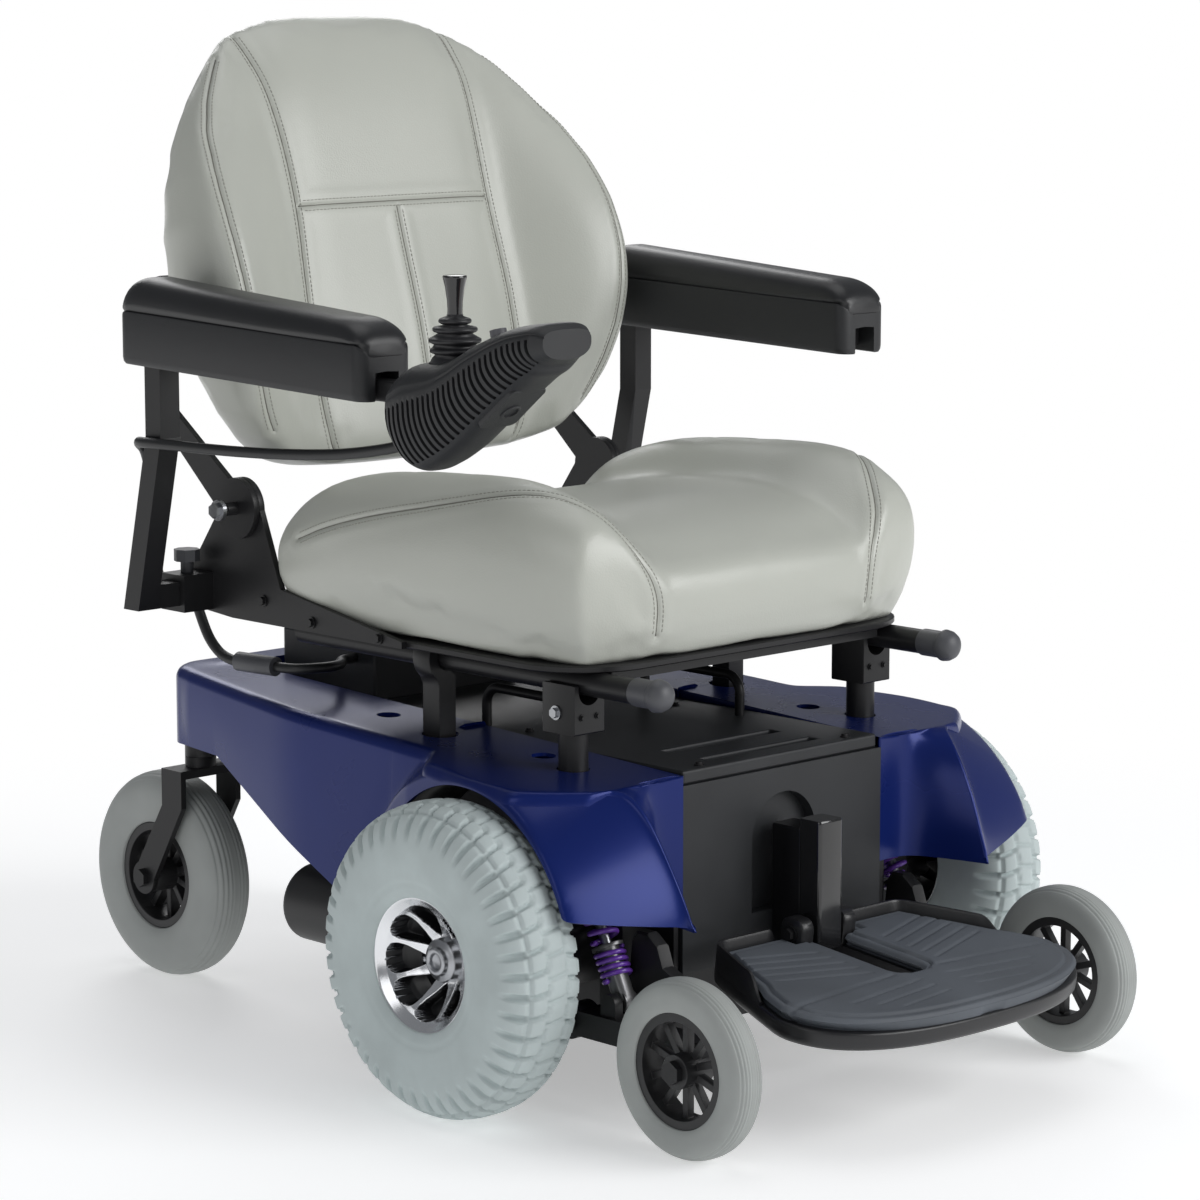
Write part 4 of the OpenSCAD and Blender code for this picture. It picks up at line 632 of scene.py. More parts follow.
def inflate(made):
    even = made.modifiers.new("even_mesh", "REMESH")
    even.mode = "VOXEL"
    even.voxel_size = VOXEL
    baked(made)
    start = np.empty(len(made.data.vertices) * 3)
    made.data.vertices.foreach_get("co", start)
    cover = made.modifiers.new("cover", "CLOTH")
    for key, value in (("quality", 5), ("mass", 0.3), ("tension_stiffness", 30), ("compression_stiffness", 30),
                       ("bending_stiffness", 4), ("use_pressure", True), ("uniform_pressure_force", PRESSURE)):
        setattr(cover.settings, key, value)
    cover.settings.effector_weights.gravity = 0
    cover.point_cache.frame_end = CLOTH_FRAMES
    for f in range(1, CLOTH_FRAMES + 1):
        scene.frame_set(f)
    shape = made.evaluated_get(bpy.context.evaluated_depsgraph_get())
    end = np.empty_like(start)
    shape.data.vertices.foreach_get("co", end)
    move = (end - start).reshape(-1, 3)
    far = np.linalg.norm(move, axis=1, keepdims=True)
    move *= np.minimum(1, MOVE_CAP / np.maximum(far, 1e-9))
    made.modifiers.clear()
    made.data.vertices.foreach_set("co", start + move.ravel())
    scene.frame_set(1)
    print(made.name, "cloth moved up to", round(float(far.max()) * 1000, 1), "mm, capped at", MOVE_CAP * 1000)
    relax = made.modifiers.new("relax", "SMOOTH")
    relax.factor, relax.iterations = 0.5, 6
    finer = made.modifiers.new("finer", "SUBSURF")
    finer.levels = finer.render_levels = 1
    baked(made)
    smooth(made)


# %% Sewing helpers
def evened(row, reach):
    """Each point of a row as the mean of its neighbours within reach."""
    last = len(row) - 1
    return [sum((row[min(max(i + k, 0), last)] for k in range(-reach, reach + 1)), Vector()) / (2 * reach + 1)
            for i in range(last + 1)]


def drop_route(made, route, step=0.0008, even=9):
    """A route dropped onto the surface, a point every step, then evened along its length."""
    fine = []
    for a, b in zip(route, route[1:]):
        n = max(1, int((b - a).length / step))
        fine += [a.lerp(b, k / n) for k in range(n)]
    fine.append(route[-1])
    return evened([made.closest_point_on_mesh(p)[1] for p in fine], even)


def seam_relief(d):
    """How far the cover stands out (or is pulled in) at a distance from a seam, in metres."""
    return 0.0008 * bell((d - 0.009) / 0.006) - 0.0016 * bell(d / 0.0018)


def beside(made, seam, offset):
    """A row that follows a seam at a distance, standing on the sewn surface."""
    row = []
    for i in range(8, len(seam) - 8, 3):
        along = seam[i + 8] - seam[i - 8]
        across = along.cross(made.closest_point_on_mesh(seam[i])[2])
        if across.length > 1e-9:
            place = made.closest_point_on_mesh(seam[i] + across.normalized() * offset)
            row.append(place[1] + place[2] * (seam_relief(abs(offset)) + 0.0002))
    return evened(row, 3)


def sew(made, seams):
    """Pulls the cover in along its seams, on a mesh that is made finer there, and returns a path in each for a line of
    painted shade.
    """
    lines = [[p - made.closest_point_on_mesh(p)[2] * 0.0012 for p in seam[::5]] for seam in seams]
    dots = [p for seam in seams for p in seam]
    tree = KDTree(len(dots))
    for i, p in enumerate(dots):
        tree.insert(p, i)
    tree.balance()
    cover = bmesh.new()
    cover.from_mesh(made.data)
    near = {v for v in cover.verts if tree.find(v.co)[2] < 0.009}
    bmesh.ops.subdivide_edges(cover, edges=[e for e in cover.edges if e.verts[0] in near and e.verts[1] in near],
                              cuts=1, use_grid_fill=True)
    cover.normal_update()
    for v, d in [(v, tree.find(v.co)[2]) for v in cover.verts]:
        if d < 0.03:
            v.co += v.normal * seam_relief(d)
    cover.to_mesh(made.data)
    cover.free()
    smooth(made)
    return lines


# %% Seat cushion
STITCH_ROWS = (-0.0048, 0.0048)
SEAT_LOW, SEAT_MID, SEAT_HALF, SEAT_DEEP = 384, 115, 237, 209


def seat_plan(a, b, k):
    x = a * SEAT_HALF * (1 - (0.10 if b < 0 else 0.04) * abs(b) ** 4)
    y = b * SEAT_DEEP * (1 - (0.11 if b < 0 else 0.04) * abs(a) ** 4)
    return x * k, SEAT_MID + y * (0.25 + 0.75 * k if b < 0 else k)


def seat_height(a, b, x, y):
    v = max(-1, min(1, (y - SEAT_MID) / SEAT_DEEP))
    lift = 106 + 36 * bell((abs(x) - 186) / 48) - 5 * bell((abs(x) - 128) / 22)
    return lift - (34 * max(0, -v - 0.35) ** 2 / 0.42 + 44 * max(0, v) ** 2.6 - 6 * bell((v + 0.35) / 0.5))


points, faces = rolled_form(120, 0.66, seat_plan, seat_height, SEAT_LOW)
seat = piece("vinyl_seat_cushion", [at(*p) for p in points], faces, VINYL)
inflate(seat)
seat_seams = []
for sign in (-1, 1):
    route = [(133, -96, 396), (134, -100, 420), (136, -100, 446), (141, -94, 472), (150, -80, 492), (164, -60, 507),
             (182, -34, 516), (200, 0, 518), (214, 44, 512), (222, 100, 502), (224, 160, 490), (218, 220, 474),
             (206, 272, 456)]
    curve = smooth_route([(sign * x, y, z) for x, y, z in route], 6)
    seat_seams.append(drop_route(seat, [at(*p) for p in curve]))
seat_rows = [beside(seat, seam, o) for seam in seat_seams for o in STITCH_ROWS]
seat_shade_lines = sew(seat, seat_seams)
give(seat, "base", "seat_cushion")
print("seat cushion with", len(seat_seams), "seams")

# %% Backrest cushion
BACK_TILT, BACK_HALF, BACK_TALL = math.radians(13), 254, 440
BACK_WIDTH = ((0, 0.70), (0.05, 0.79), (0.12, 0.87), (0.22, 0.94), (0.32, 0.985), (0.42, 1.0), (0.55, 0.99),
              (0.66, 0.95), (0.76, 0.885), (0.86, 0.79), (0.93, 0.70), (1, 0.58))


def back_at(x, along, out):
    """A point of the leaned back: along it from its lower edge, and out from its rear face."""
    y, z = 48 - out, 24 + along
    return at(x, 362 + y * math.cos(BACK_TILT) + z * math.sin(BACK_TILT),
              480 - y * math.sin(BACK_TILT) + z * math.cos(BACK_TILT))


def back_plan(a, b, k):
    h = (b + 1) / 2
    half = BACK_HALF * np.interp(h, *zip(*BACK_WIDTH))
    along = BACK_TALL * h - 26 * abs(a) ** 3 * h + 14 * abs(a) ** 4 * (1 - h)
    return a * half * k, 214 + (along - 214) * (0.35 + 0.65 * k)


def back_height(a, b, x, along):
    h, u = along / BACK_TALL, abs(x) / BACK_HALF
    wing = 56 * bell((u - 0.92) / 0.27) * bell((h - 0.40) / 0.36)
    belly = 8 * bell((h - 0.25) / 0.2) * bell(u / 0.4)
    return 64 + wing + belly - 44 * max(0, h) ** 7 - 8 * bell((u - 0.52) / 0.10)


points, faces = rolled_form(120, 0.68, back_plan, back_height, 0)
back = piece("vinyl_backrest", [back_at(*p) for p in points], faces, VINYL)
inflate(back)
back_seams = []
for sign in (-1, 1):
    routes = [[(112, 4), (124, 60), (125, 150), (119, 246), (121, 330), (129, 422)],
              [(196, 30), (225, 110), (238, 200), (232, 280), (210, 352), (172, 410)]]
    for route in routes:
        curve = smooth_route([(sign * x, h, 0) for x, h in route], 8)
        back_seams.append(drop_route(back, [back_at(x, h, back_height(0, 0, x, h)) for x, h, _ in curve]))
back_seams.append(drop_route(back, [back_at(x, 246, 64) for x in range(-119, 120, 7)]))
back_seams.append(drop_route(back, [back_at(0, h, 72) for h in range(4, 247, 8)]))
back_rows = [beside(back, seam, o) for seam in back_seams for o in STITCH_ROWS]
back_shade_lines = sew(back, back_seams)
give(back, "backrest", "backrest_cushion")
print("backrest with", len(back_seams), "seams")

# %% [markdown]
# ## Stitches
# A row of top stitching runs on each side of every seam. Geometry Nodes walk a row: they resample it at the stitch
# length, place a small rounded thread on each point and turn it along the row. The tree takes the stitch length and
# the thread's size as inputs. A thin dark line in the seam itself is painted shade of the seam's groove.

# %% Stitch tree
def new_tree(name, inputs):
    tree = bpy.data.node_groups.new(name, "GeometryNodeTree")
    tree.interface.new_socket("Geometry", in_out="INPUT", socket_type="NodeSocketGeometry")
    ids = {}
    for label, kind, value in inputs:
        socket = tree.interface.new_socket(label, in_out="INPUT", socket_type=kind)
        if value is not None:
            socket.default_value = value
        ids[label] = socket.identifier
    tree.interface.new_socket("Geometry", in_out="OUTPUT", socket_type="NodeSocketGeometry")
    return tree, ids, tree.nodes.new("NodeGroupInput"), tree.nodes.new("NodeGroupOutput")


def end_tree(tree, put, tree_in, label, tree_out):
    """The end of every tree here: the copies become real and take the finish that the labelled input gives."""
    real = add(tree, "GeometryNodeRealizeInstances")
    paint = add(tree, "GeometryNodeSetMaterial")
    wire(tree, (put, "Instances", real, "Geometry"), (real, "Geometry", paint, "Geometry"),
         (tree_in, label, paint, "Material"), (paint, "Geometry", tree_out, "Geometry"))


stitch_tree, stitch_ids, t_in, t_out = new_tree("stitch_row", [
    ("Stitch Length", "NodeSocketFloat", 0.004), ("Thread Size", "NodeSocketFloat", 0.0005),
    ("Thread", "NodeSocketMaterial", None)])
to_curve = add(stitch_tree, "GeometryNodeMeshToCurve")
resample = add(stitch_tree, "GeometryNodeResampleCurve", mode="LENGTH")
stitch = add(stitch_tree, "GeometryNodeMeshUVSphere", {"Segments": 8, "Rings": 5, "Radius": 1})
long = add(stitch_tree, "ShaderNodeCombineXYZ")
long_size = add(stitch_tree, "ShaderNodeMath", {1: 0.42}, operation="MULTIPLY")
shape = add(stitch_tree, "GeometryNodeTransform")
tangent = add(stitch_tree, "GeometryNodeInputTangent")
align = add(stitch_tree, "FunctionNodeAlignEulerToVector", axis="Z")
put = add(stitch_tree, "GeometryNodeInstanceOnPoints")
wire(stitch_tree, (t_in, "Geometry", to_curve, "Mesh"), (to_curve, "Curve", resample, "Curve"),
     (t_in, "Stitch Length", resample, "Length"), (t_in, "Stitch Length", long_size, 0),
     (t_in, "Thread Size", long, "X"), (t_in, "Thread Size", long, "Y"), (long_size, 0, long, "Z"),
     (stitch, "Mesh", shape, "Geometry"), (long, 0, shape, "Scale"), (tangent, 0, align, "Vector"),
     (resample, "Curve", put, "Points"), (shape, "Geometry", put, "Instance"), (align, 0, put, "Rotation"))
end_tree(stitch_tree, put, t_in, "Thread", t_out)


# %% Stitching the cushions
def run_tree(mesh, tree, values):
    made = bpy.data.objects.new(mesh.name, mesh)
    scene.collection.objects.link(made)
    rule = made.modifiers.new(mesh.name, "NODES")
    rule.node_group = tree
    for key, value in values.items():
        rule[key] = value
    return baked(made)


def stitched(name, rows, lines, body):
    points, edges = [], []
    for row in rows:
        edges += [(len(points) + k, len(points) + k + 1) for k in range(len(row) - 1)]
        points += row
    mesh = bpy.data.meshes.new(name + "_stitches")
    mesh.from_pydata([tuple(p) for p in points], edges, [])
    threads = run_tree(mesh, stitch_tree, {stitch_ids["Stitch Length"]: 0.0042, stitch_ids["Thread Size"]: 0.00045,
                                           stitch_ids["Thread"]: VINYL_THREAD})
    smooth(threads)
    give(threads, body, ())
    # Dark tubes in the seams, painted shade of the grooves.
    dark = joined(tube_rings(line, 0.00055, 6) for line in lines)
    give(piece(name + "_seam_shade_lines", *dark, SEAM_SHADE), body, ())
    print(name, "stitch faces", len(threads.data.polygons), "seam lines", len(lines))


stitched("seat", seat_rows, seat_shade_lines, "base")
stitched("back", back_rows, back_shade_lines, "backrest")

# %% [markdown]
# ## Shrouds
# Each half is one vacuum-formed, painted cover. It is skinned column by column: a column climbs the side from the lower
# edge, rolls over the shoulder and runs in along the top. The lower edge holds the wheel arch, and the side swells out
# around it. Ahead of the box the columns turn down into a fin, and their top strip becomes the hollow front panel.

# %% Shroud columns
PLAN = ((-185, 183), (-108, 204), (-60, 215), (-21, 231), (147, 232), (300, 226), (500, 191), (526, 186))
FIN_TOP, FIN_LOW, FIN_START, ARCH = 286, 173, -108, 146
TAIL_LOW, TOP_IN, TOP_REAR = 237, 125, 484
FLARE = ((-146, 294), (0, 280), (88, 267), (146, 252), (178, 224))


def side_x(y):
    ys, xs = zip(*PLAN)
    return float(np.mean(np.interp(y + np.linspace(-22, 22, 9), ys, xs)))


def flare_x(y):
    return float(np.interp(y, *zip(*FLARE)))


def either(a, b, soft, sign):
    """The larger (sign 1) or the smaller (sign -1) of two values, with the corner between them rounded."""
    return (a + b + sign * math.sqrt((a - b) ** 2 + soft * soft)) / 2


def top_z(y):
    return FIN_TOP + 25 * (y - FIN_START) / 634


columns = [(x, 526, TAIL_LOW, min(TOP_IN, x * 0.8), TOP_REAR) for x in np.linspace(0, 156, 14)]
corner = side_x(498) - 156
columns += [(156 + corner * math.sin(a), 498 + 28 * math.cos(a), TAIL_LOW, TOP_IN, TOP_REAR)
            for a in np.linspace(0.15, math.pi / 2, 9)]
columns += [(None, y, TAIL_LOW, TOP_IN, min(TOP_REAR, y)) for y in np.linspace(488, 436, 7)]
columns += [(None, y, 113 + (y - 150) * 124 / 281, TOP_IN, y)
            for y in list(np.linspace(431, 225, 15)) + list(np.linspace(220, 151, 21))]
columns += [(None, ARCH * math.cos(a) + 42 * max(0, -a), AXLE_Z + ARCH * math.sin(a), TOP_IN,
             max(FIN_START, ARCH * math.cos(a))) for a in np.radians(np.linspace(-7, 156.8, 96))]
columns += [(None, y, 194 - 21 * (-134.2 - y) / 50.8, TOP_IN, FIN_START) for y in np.linspace(-136.5, -185, 20)]


# %% One column
def shroud_column(x, y, low, ix, iy, side_steps=40):
    fin = y < FIN_START
    w = max(0, (FIN_START - y) / 77)
    top = FIN_LOW + (FIN_TOP - FIN_LOW) * (1 - w ** 1.75) if fin else top_z(y)
    edge = x if x is not None else side_x(y)
    inward = Vector((ix - edge, iy - y, 0)).normalized()
    radius = min(4 if fin else 11, 0.85 * max(0, top - low))

    def skin(z):
        if x is not None:
            return edge
        d = math.hypot(y, z - AXLE_Z) - ARCH
        cone = either(flare_x(y), 294 - (2.58 + w) * max(-2, d - 4), 5, -1)
        belly = 2.5 * math.sin(math.pi * (z - low) / max(1, top - low)) * glide(0, 60, d)
        return either(edge, cone, 9, 1) + belly

    line = [(skin(low + (top - radius - low) * k / side_steps), y, low + (top - radius - low) * k / side_steps)
            for k in range(side_steps + 1)]
    start = Vector((line[-1][0], y, 0))
    for a in np.radians((15, 30, 45, 60, 75, 90)):
        p = start + inward * radius * (1 - math.cos(a))
        line.append((p.x, p.y, top - radius + radius * math.sin(a)))
    begin, end, fold = Vector(line[-1]), Vector((ix, iy, top)), Vector((167, -103, top))
    for u in np.linspace(0.08, 1, 14):
        if fin:
            a, b, c = (1 - u) ** 2, 2 * u * (1 - u) * 2.6, u * u
            p = (begin * a + fold * b + end * c) / (a + b + c)
            p = p.lerp(begin.lerp(end, u), 1 - glide(0, 0.12, w))
        else:
            p = begin.lerp(end, u)
        line.append(tuple(p))
    if not fin:
        line += [(ix - 1, iy, top - 3), (ix - 1, iy, top - 16)]
    else:
        line += [(ix - 1, iy + 1, top), (ix - 1, iy + 6, top)]
    return line


# %% Both halves
HOLES = ((RAIL_X, -31, 14.5), (RAIL_X, 140, 17), (167, 21, 11), (167, 226, 11))


def shroud_half(side, sign):
    grid = [shroud_column(*c) for c in columns]
    rings = [[at(sign * px, py, pz) for px, py, pz in line] for line in grid]
    made = piece("blue_shroud_" + side, *loft(rings, closed=False), BLUE, merge=0.00005)
    thicken(made, 0.003, -1)
    for hx, hy, hr in HOLES:
        drill = rod(lambda c, s, z: at(sign * hx + c, hy + s, z), hr, (262, 330), 40)
        cut_out(made, piece("drill", *drill, BLUE), "MANIFOLD")
    smooth(made)
    crease(made, 34)
    made.modifiers.new("even_shading", "WEIGHTED_NORMAL").keep_sharp = True
    baked(made)
    give(made, "base", "shroud_" + side)
    print(made.name, "faces", len(made.data.polygons))
    turn = [(1.01 * ARCH * math.cos(a), 1.01 * ARCH * math.sin(a)) for a in np.radians(np.linspace(8, 156, 60))]
    liner = [[at(sign * lx, py, AXLE_Z + pz) for lx in (196, flare_x(py) - 7)] for py, pz in turn]
    inner = piece("arch_liner_" + side, *loft(liner, closed=False), FRAME)
    give(thicken(inner, 0.002, 0), "base", ())


for side, sign in SIDES:
    shroud_half(side, sign)

# %% [markdown]
# ## Armrests
# A hard moulded channel carries a soft, self-skinned pad. Both are lofted front to back, and the end sections shrink
# along a circle, which is what a rounded nose is.

# %% Armrest bodies
ARM_X, ARM_FRONT, ARM_REAR = 297, 74, 408


def nose(d, radius):
    return math.sqrt(max(0, 1 - (1 - min(1, max(0, d / radius))) ** 2))


def arm_stations(count, ends):
    inner = list(np.linspace(ARM_FRONT + ends, ARM_REAR - ends, count))
    roll = [ends * (1 - math.cos(a)) for a in np.linspace(0.06, math.pi / 2, 12)][:-1]
    return [ARM_FRONT + r for r in roll] + inner + [ARM_REAR - r for r in reversed(roll)]


def arm_under(y):
    return 606 + 10 * (y - ARM_FRONT) / (ARM_REAR - ARM_FRONT)


def arm_body(side, sign):
    rings = []
    for y in arm_stations(24, 12):
        d = min(y - ARM_FRONT, ARM_REAR - y)
        w = 18 + 12 * nose(d, 12)
        low, high = arm_under(y), arm_under(y) + 37.6
        lip = high + 10 * nose(d, 12)
        half = [(0, high), (w - 2.2, high), (w - 2.2, lip - 0.4), (w - 1.6, lip), (w - 0.5, lip - 0.5), (w, lip - 2),
                (w, low + 6), (w - 0.8, low + 2.4), (w - 3, low), (14, low), (13, low + 1), (13, low + 24),
                (0, low + 25)]
        ring = [(-x, z) for x, z in half] + [(x, z) for x, z in reversed(half[1:-1])]
        rings.append([at(sign * ARM_X + x, y, z) for x, z in ring])
    made = piece("arm_channel_" + side, *loft(rings), CHARCOAL, merge=0.00002)
    return give(crease(made, 38), "armrest_" + side, "arm_body_" + side)


# %% Armrest pads
def arm_pad(side, sign):
    rings = []
    for y in arm_stations(40, 34):
        front, rear = nose(y - ARM_FRONT, 34), nose(ARM_REAR - y, 26)
        low = arm_under(y) + 38
        share = (y - ARM_FRONT) / (ARM_REAR - ARM_FRONT)
        tall = (29.5 + 11 * share) * (0.30 + 0.70 * min(front, rear))
        w = 30 * (0.72 + 0.28 * min(nose(y - ARM_FRONT, 16), nose(ARM_REAR - y, 16)))
        ring = []
        for a in np.radians(np.linspace(0, 180, 41)):
            c, s = math.cos(a), math.sin(a)
            z = low + tall * (0.1 + 0.9 * abs(s) ** (2 / 2.9))
            tuck = 2.6 * (1 - glide(9.5, 12, z - low))
            ring.append((w * math.copysign(abs(c) ** (2 / 3.4), c) - math.copysign(min(tuck, abs(w * c)), c), z))
        ring = [(w - 3.4, low)] + ring + [(-w + 3.4, low)]
        rings.append([at(sign * ARM_X + x, y, z) for x, z in ring])
    made = piece("arm_pad_skin_" + side, *loft(rings), PAD)
    give(crease(made, 60), "armrest_" + side, "arm_pad_" + side)


for side, sign in SIDES:
    arm_body(side, sign)
    arm_pad(side, sign)
print("armrests", ARM_REAR - ARM_FRONT, "mm long")

# %% Controller bracket
bracket = [[at(-ARM_X + x, y, z + 606) for x, z in ((-9, 0), (9, 0), (9, 18), (-9, 18))] for y in (34, 150)]
bar = piece("controller_bracket", *loft(bracket), FRAME, smooth=False)
soften(bar, 1.5)
give(baked(bar), "armrest_right", ())

# %% [markdown]
# ## Hand controller
# The case is a boat-shaped moulding, broad behind the stick and lifted at the front. It is lofted along sections that
# lean with its cooling slots, so that a slot is just a pair of sections pressed inwards. The boot is four soft rings
# on a skirt, turned about the stick, and the knob is a slim gloss cone.

# %% Controller case
POD_TOP = ((46, 617), (40, 627), (30, 635), (16, 643), (-20, 647), (-40, 654), (-62, 665), (-90, 676), (-114, 683),
           (-138, 686), (-144, 684), (-147, 679))
POD_LOW = ((46, 602), (43, 574), (38, 558), (30, 552), (20, 553), (0, 562), (-20, 574), (-46, 594), (-80, 620),
           (-105, 638), (-130, 650), (-143, 655), (-147, 658))
POD_HALF = ((46, 24), (43, 31), (36, 36), (20, 38.5), (-60, 38.5), (-104, 37.5), (-128, 36), (-141, 32), (-147, 25))
PITCH, POD_SIDES, TOP_POWER, LOW_POWER = 6.3, 96, 3.6, 2.7


def table(rows, y):
    return float(np.interp(-y, [-r[0] for r in rows], [r[1] for r in rows]))


def soft_table(rows, y, span=5):
    return sum(table(rows, y + d) for d in (-span, -span / 2, 0, span / 2, span)) / 5


stations = [(45.8, 0), (45, 0), (44, 0), (42, 0)]
y = 39.0
while y > -138:
    slotted = -137 < y < 40
    for share, deep in ((0, 0), (0.26, 0), (0.29, 1), (0.5, 1), (0.71, 1), (0.74, 0)):
        stations.append((y - PITCH * share, deep if slotted else 0))
    y -= PITCH
stations += [(v, 0) for v in (-142, -143.5, -145, -146, -146.6, -146.9)]


# %% Sections of the case
def pod_share(a):
    """How high a place on the case's section lies: 0 at its bottom, 1 at its top."""
    s = math.sin(a)
    return 0.5 + 0.5 * math.copysign(abs(s) ** (2 / (TOP_POWER if s > 0 else LOW_POWER)), s)


def in_slots(a):
    return 0.09 < pod_share(a) < 0.66 and abs(math.cos(a)) > 0.2


def pod_ring(y, deep):
    top, low, half = (soft_table(rows, y) for rows in (POD_TOP, POD_LOW, POD_HALF))
    mid, tall = (top + low) / 2, (top - low) / 2
    ring = []
    for a in np.radians(np.linspace(-90, 270, POD_SIDES, endpoint=False)):
        c, s, h = math.cos(a), math.sin(a), pod_share(a)
        pressed = deep * 3.2 if in_slots(a) else 0
        seam = 0.8 if 0.76 < h < 0.79 and abs(c) > 0.2 else 0
        bulge = half * (0.90 + 0.10 * glide(0.0, 0.55, h)) if s < 0 else half * (1 - 0.05 * glide(0.8, 1.0, h))
        x = bulge * math.copysign(abs(c) ** (2 / (TOP_POWER if s > 0 else LOW_POWER)), c)
        x -= math.copysign(pressed + seam, c) * (abs(c) > 0.2)
        lean = 13 * (1 - min(1, h / 0.66)) ** 2 * glide(-140, -112, y) * glide(46, 36, y)
        ring.append(at(-ARM_X + x, y - lean, mid + tall * (2 * h - 1)))
    return ring


points, faces = loft([pod_ring(y, deep) for y, deep in stations])
# The floors of the cooling slots take the very dark finish: painted shade in the recesses.
which = []
for f in faces:
    row, turn = f[0] // POD_SIDES, f[0] % POD_SIDES + 0.5
    deep = len(f) == 4 and stations[row][1] and row + 1 < len(stations) and stations[row + 1][1]
    which.append(1 if deep and in_slots(math.radians(-90 + 360 / POD_SIDES * turn)) else 0)
pod = piece("controller_moulding", points, faces, [CHARCOAL, MATT_BLACK_AND_SHADE], which=which)
give(crease(pod, 42), "armrest_right", "controller_case")
print("controller faces", len(pod.data.polygons), "slots", sum(1 for s in stations if s[1]) // 3)


# %% Boot and knob
def spun(name, profile, place, material, sides=48):
    x, y, z = place
    turned_about = revolved(lambda c, s, h: at(x + c, y + s, z + h), profile, sides)
    return piece(name, *turned_about, material, merge=0.00001)


STICK = (-297, -12.08, 634.64)
fold = []
for z, r in ((20, 20.8), (28.4, 21.9), (37.4, 18.6), (44.4, 13.6)):
    fold += [(r - 4.4, z - 3.4)] + [(r - 2.2 + 2.4 * math.cos(a), z + 2.3 * math.sin(a))
                                    for a in np.radians(np.linspace(-80, 80, 9))]
hollow = [(0, 46), (4.6, 46), (6, 43), (10, 36), (12.6, 28), (13, 20), (15, 13), (17, 9.4)]
skirt, neck = [(21.5, 9.2), (22, 9.8), (20.8, 10.6), (19, 14)], [(7, 48.4), (6.6, 50), (0, 50)]
boot = spun("stick_boot", hollow + skirt + fold + neck, STICK, BOOT)
give(boot, "stick", "joystick_boot")
lever = spun("stick_knob", [(0, -6), (4, -6), (4, 47), (6.4, 48.6), (6.3, 54), (6.6, 61), (8.2, 72), (9.9, 79.6),
                            (10.2, 81), (9.6, 82), (6, 82.5), (0, 82.6)], STICK, GLOSS)
give(crease(lever, 45), "stick", "joystick_lever")


# %% Socket under the controller
SLOPE = Vector((0, -0.785, 0.62))
DOWN = Vector((0, -0.62, -0.785))
SOCKET_Y, SOCKET_MID = -82, -4
SOCKET = Vector((-ARM_X, SOCKET_Y, table(POD_LOW, SOCKET_Y + 12)))


def on_slope(across, up, out):
    return at(*(SOCKET + Vector((across, 0, 0)) + SLOPE * up + DOWN * out))


def slope_plate(half_x, half_up, corner, deep, high):
    steps = ((1, deep), (1, high - 0.8), (0.975, high), (0.5, high))
    return stacked(rounded(half_x, -half_up, half_up, corner, corner, 7), 0, steps, on_slope)


plate = piece("socket_plate", *slope_plate(20, 27, 6, -6, 1.2), CHARCOAL)
give(crease(plate, 40), "armrest_right", ())
lip = [(0, 1), (6.4, 1), (6.6, 2.6), (8.2, 2.6), (9, 1.8), (9, -2), (0, -2)]
ring = revolved(lambda c, s, h: on_slope(c, SOCKET_MID + s, h), lip, 36)
collar = piece("socket_collar", *ring, CHARCOAL, merge=0.00001)
give(crease(collar, 40), "armrest_right", ())
pins = []
for a in np.radians((90, 210, 330)):
    px, py = 3.4 * math.cos(a), SOCKET_MID + 3.4 * math.sin(a)
    pins.append(rod(lambda c, s, h: on_slope(px + c, py + s, h), 1.1, (0.5, 1.15), 12))
give(piece("socket_pins", *joined(pins), STEEL), "armrest_right", ())

# %% [markdown]
# ## Foot platform
# The platform is one moulding: a tray with a rounded skirt, a raised rear rim and two hinge lugs beside a slot for the
# post. Its outline is drawn once as an even loop, and inset copies of that loop at several heights make the skirt.
# A thick rubber mat lies on it. One half of the mat is a grid from the slot to the outer edge; its heights hold the
# rolled border, the raised treads and the diagonal grooves. The other half is its mirror image.

# %% Platform tray
FOOT_TILT = math.radians(6)
FOOT_MID, FOOT_FRONT, FOOT_HALF = 117.5, 87.5, 172
PIN_Y, PIN_Z, SLOT, SLOT_END = -150, 140, 18.5, -99.5


def on_foot(x, y, z):
    return at(x, PIN_Y + y * math.cos(FOOT_TILT) - z * math.sin(FOOT_TILT),
              PIN_Z + y * math.sin(FOOT_TILT) + z * math.cos(FOOT_TILT))


def bow(half, deep, past):
    """Half the width of a rounded front, at a distance past the place where its curve begins."""
    return half * max(0, 1 - (past / deep) ** 2.5) ** (1 / 2.5)


def foot_edge(y):
    if y < -FOOT_MID:
        return bow(FOOT_HALF, FOOT_FRONT, -y - FOOT_MID)
    return float(np.interp(y, (-FOOT_MID, -47, 14), (FOOT_HALF, 0.84 * FOOT_HALF, 0.68 * FOOT_HALF)))


front = [(FOOT_HALF * math.cos(t) ** 0.8, -FOOT_MID - FOOT_FRONT * math.sin(t) ** 0.8)
         for t in np.linspace(0, math.pi / 2, 60)]
corner = [(0, 14), (0.68 * FOOT_HALF, 14), (0.84 * FOOT_HALF, -47)] + front
corner += [(-x, y) for x, y in reversed(corner[:-1])]
gone = np.concatenate([[0], np.cumsum([math.dist(a, b) for a, b in zip(corner, corner[1:])])])
even = np.linspace(0, gone[-1], 321)[:-1]
loop = np.column_stack([np.interp(even, gone, [c[i] for c in corner]) for i in (0, 1)])
loop = sum(np.roll(loop, k, axis=0) for k in range(-4, 5)) / 9
ahead = np.roll(loop, -1, axis=0) - np.roll(loop, 1, axis=0)
inward = np.column_stack([ahead[:, 1], -ahead[:, 0]]) / np.linalg.norm(ahead, axis=1)[:, None]
if (inward[0] @ (np.array([0, -90]) - loop[0])) < 0:
    inward = -inward


def foot_ring(inset, z):
    return [on_foot(*p, z) for p in loop + inward * inset]


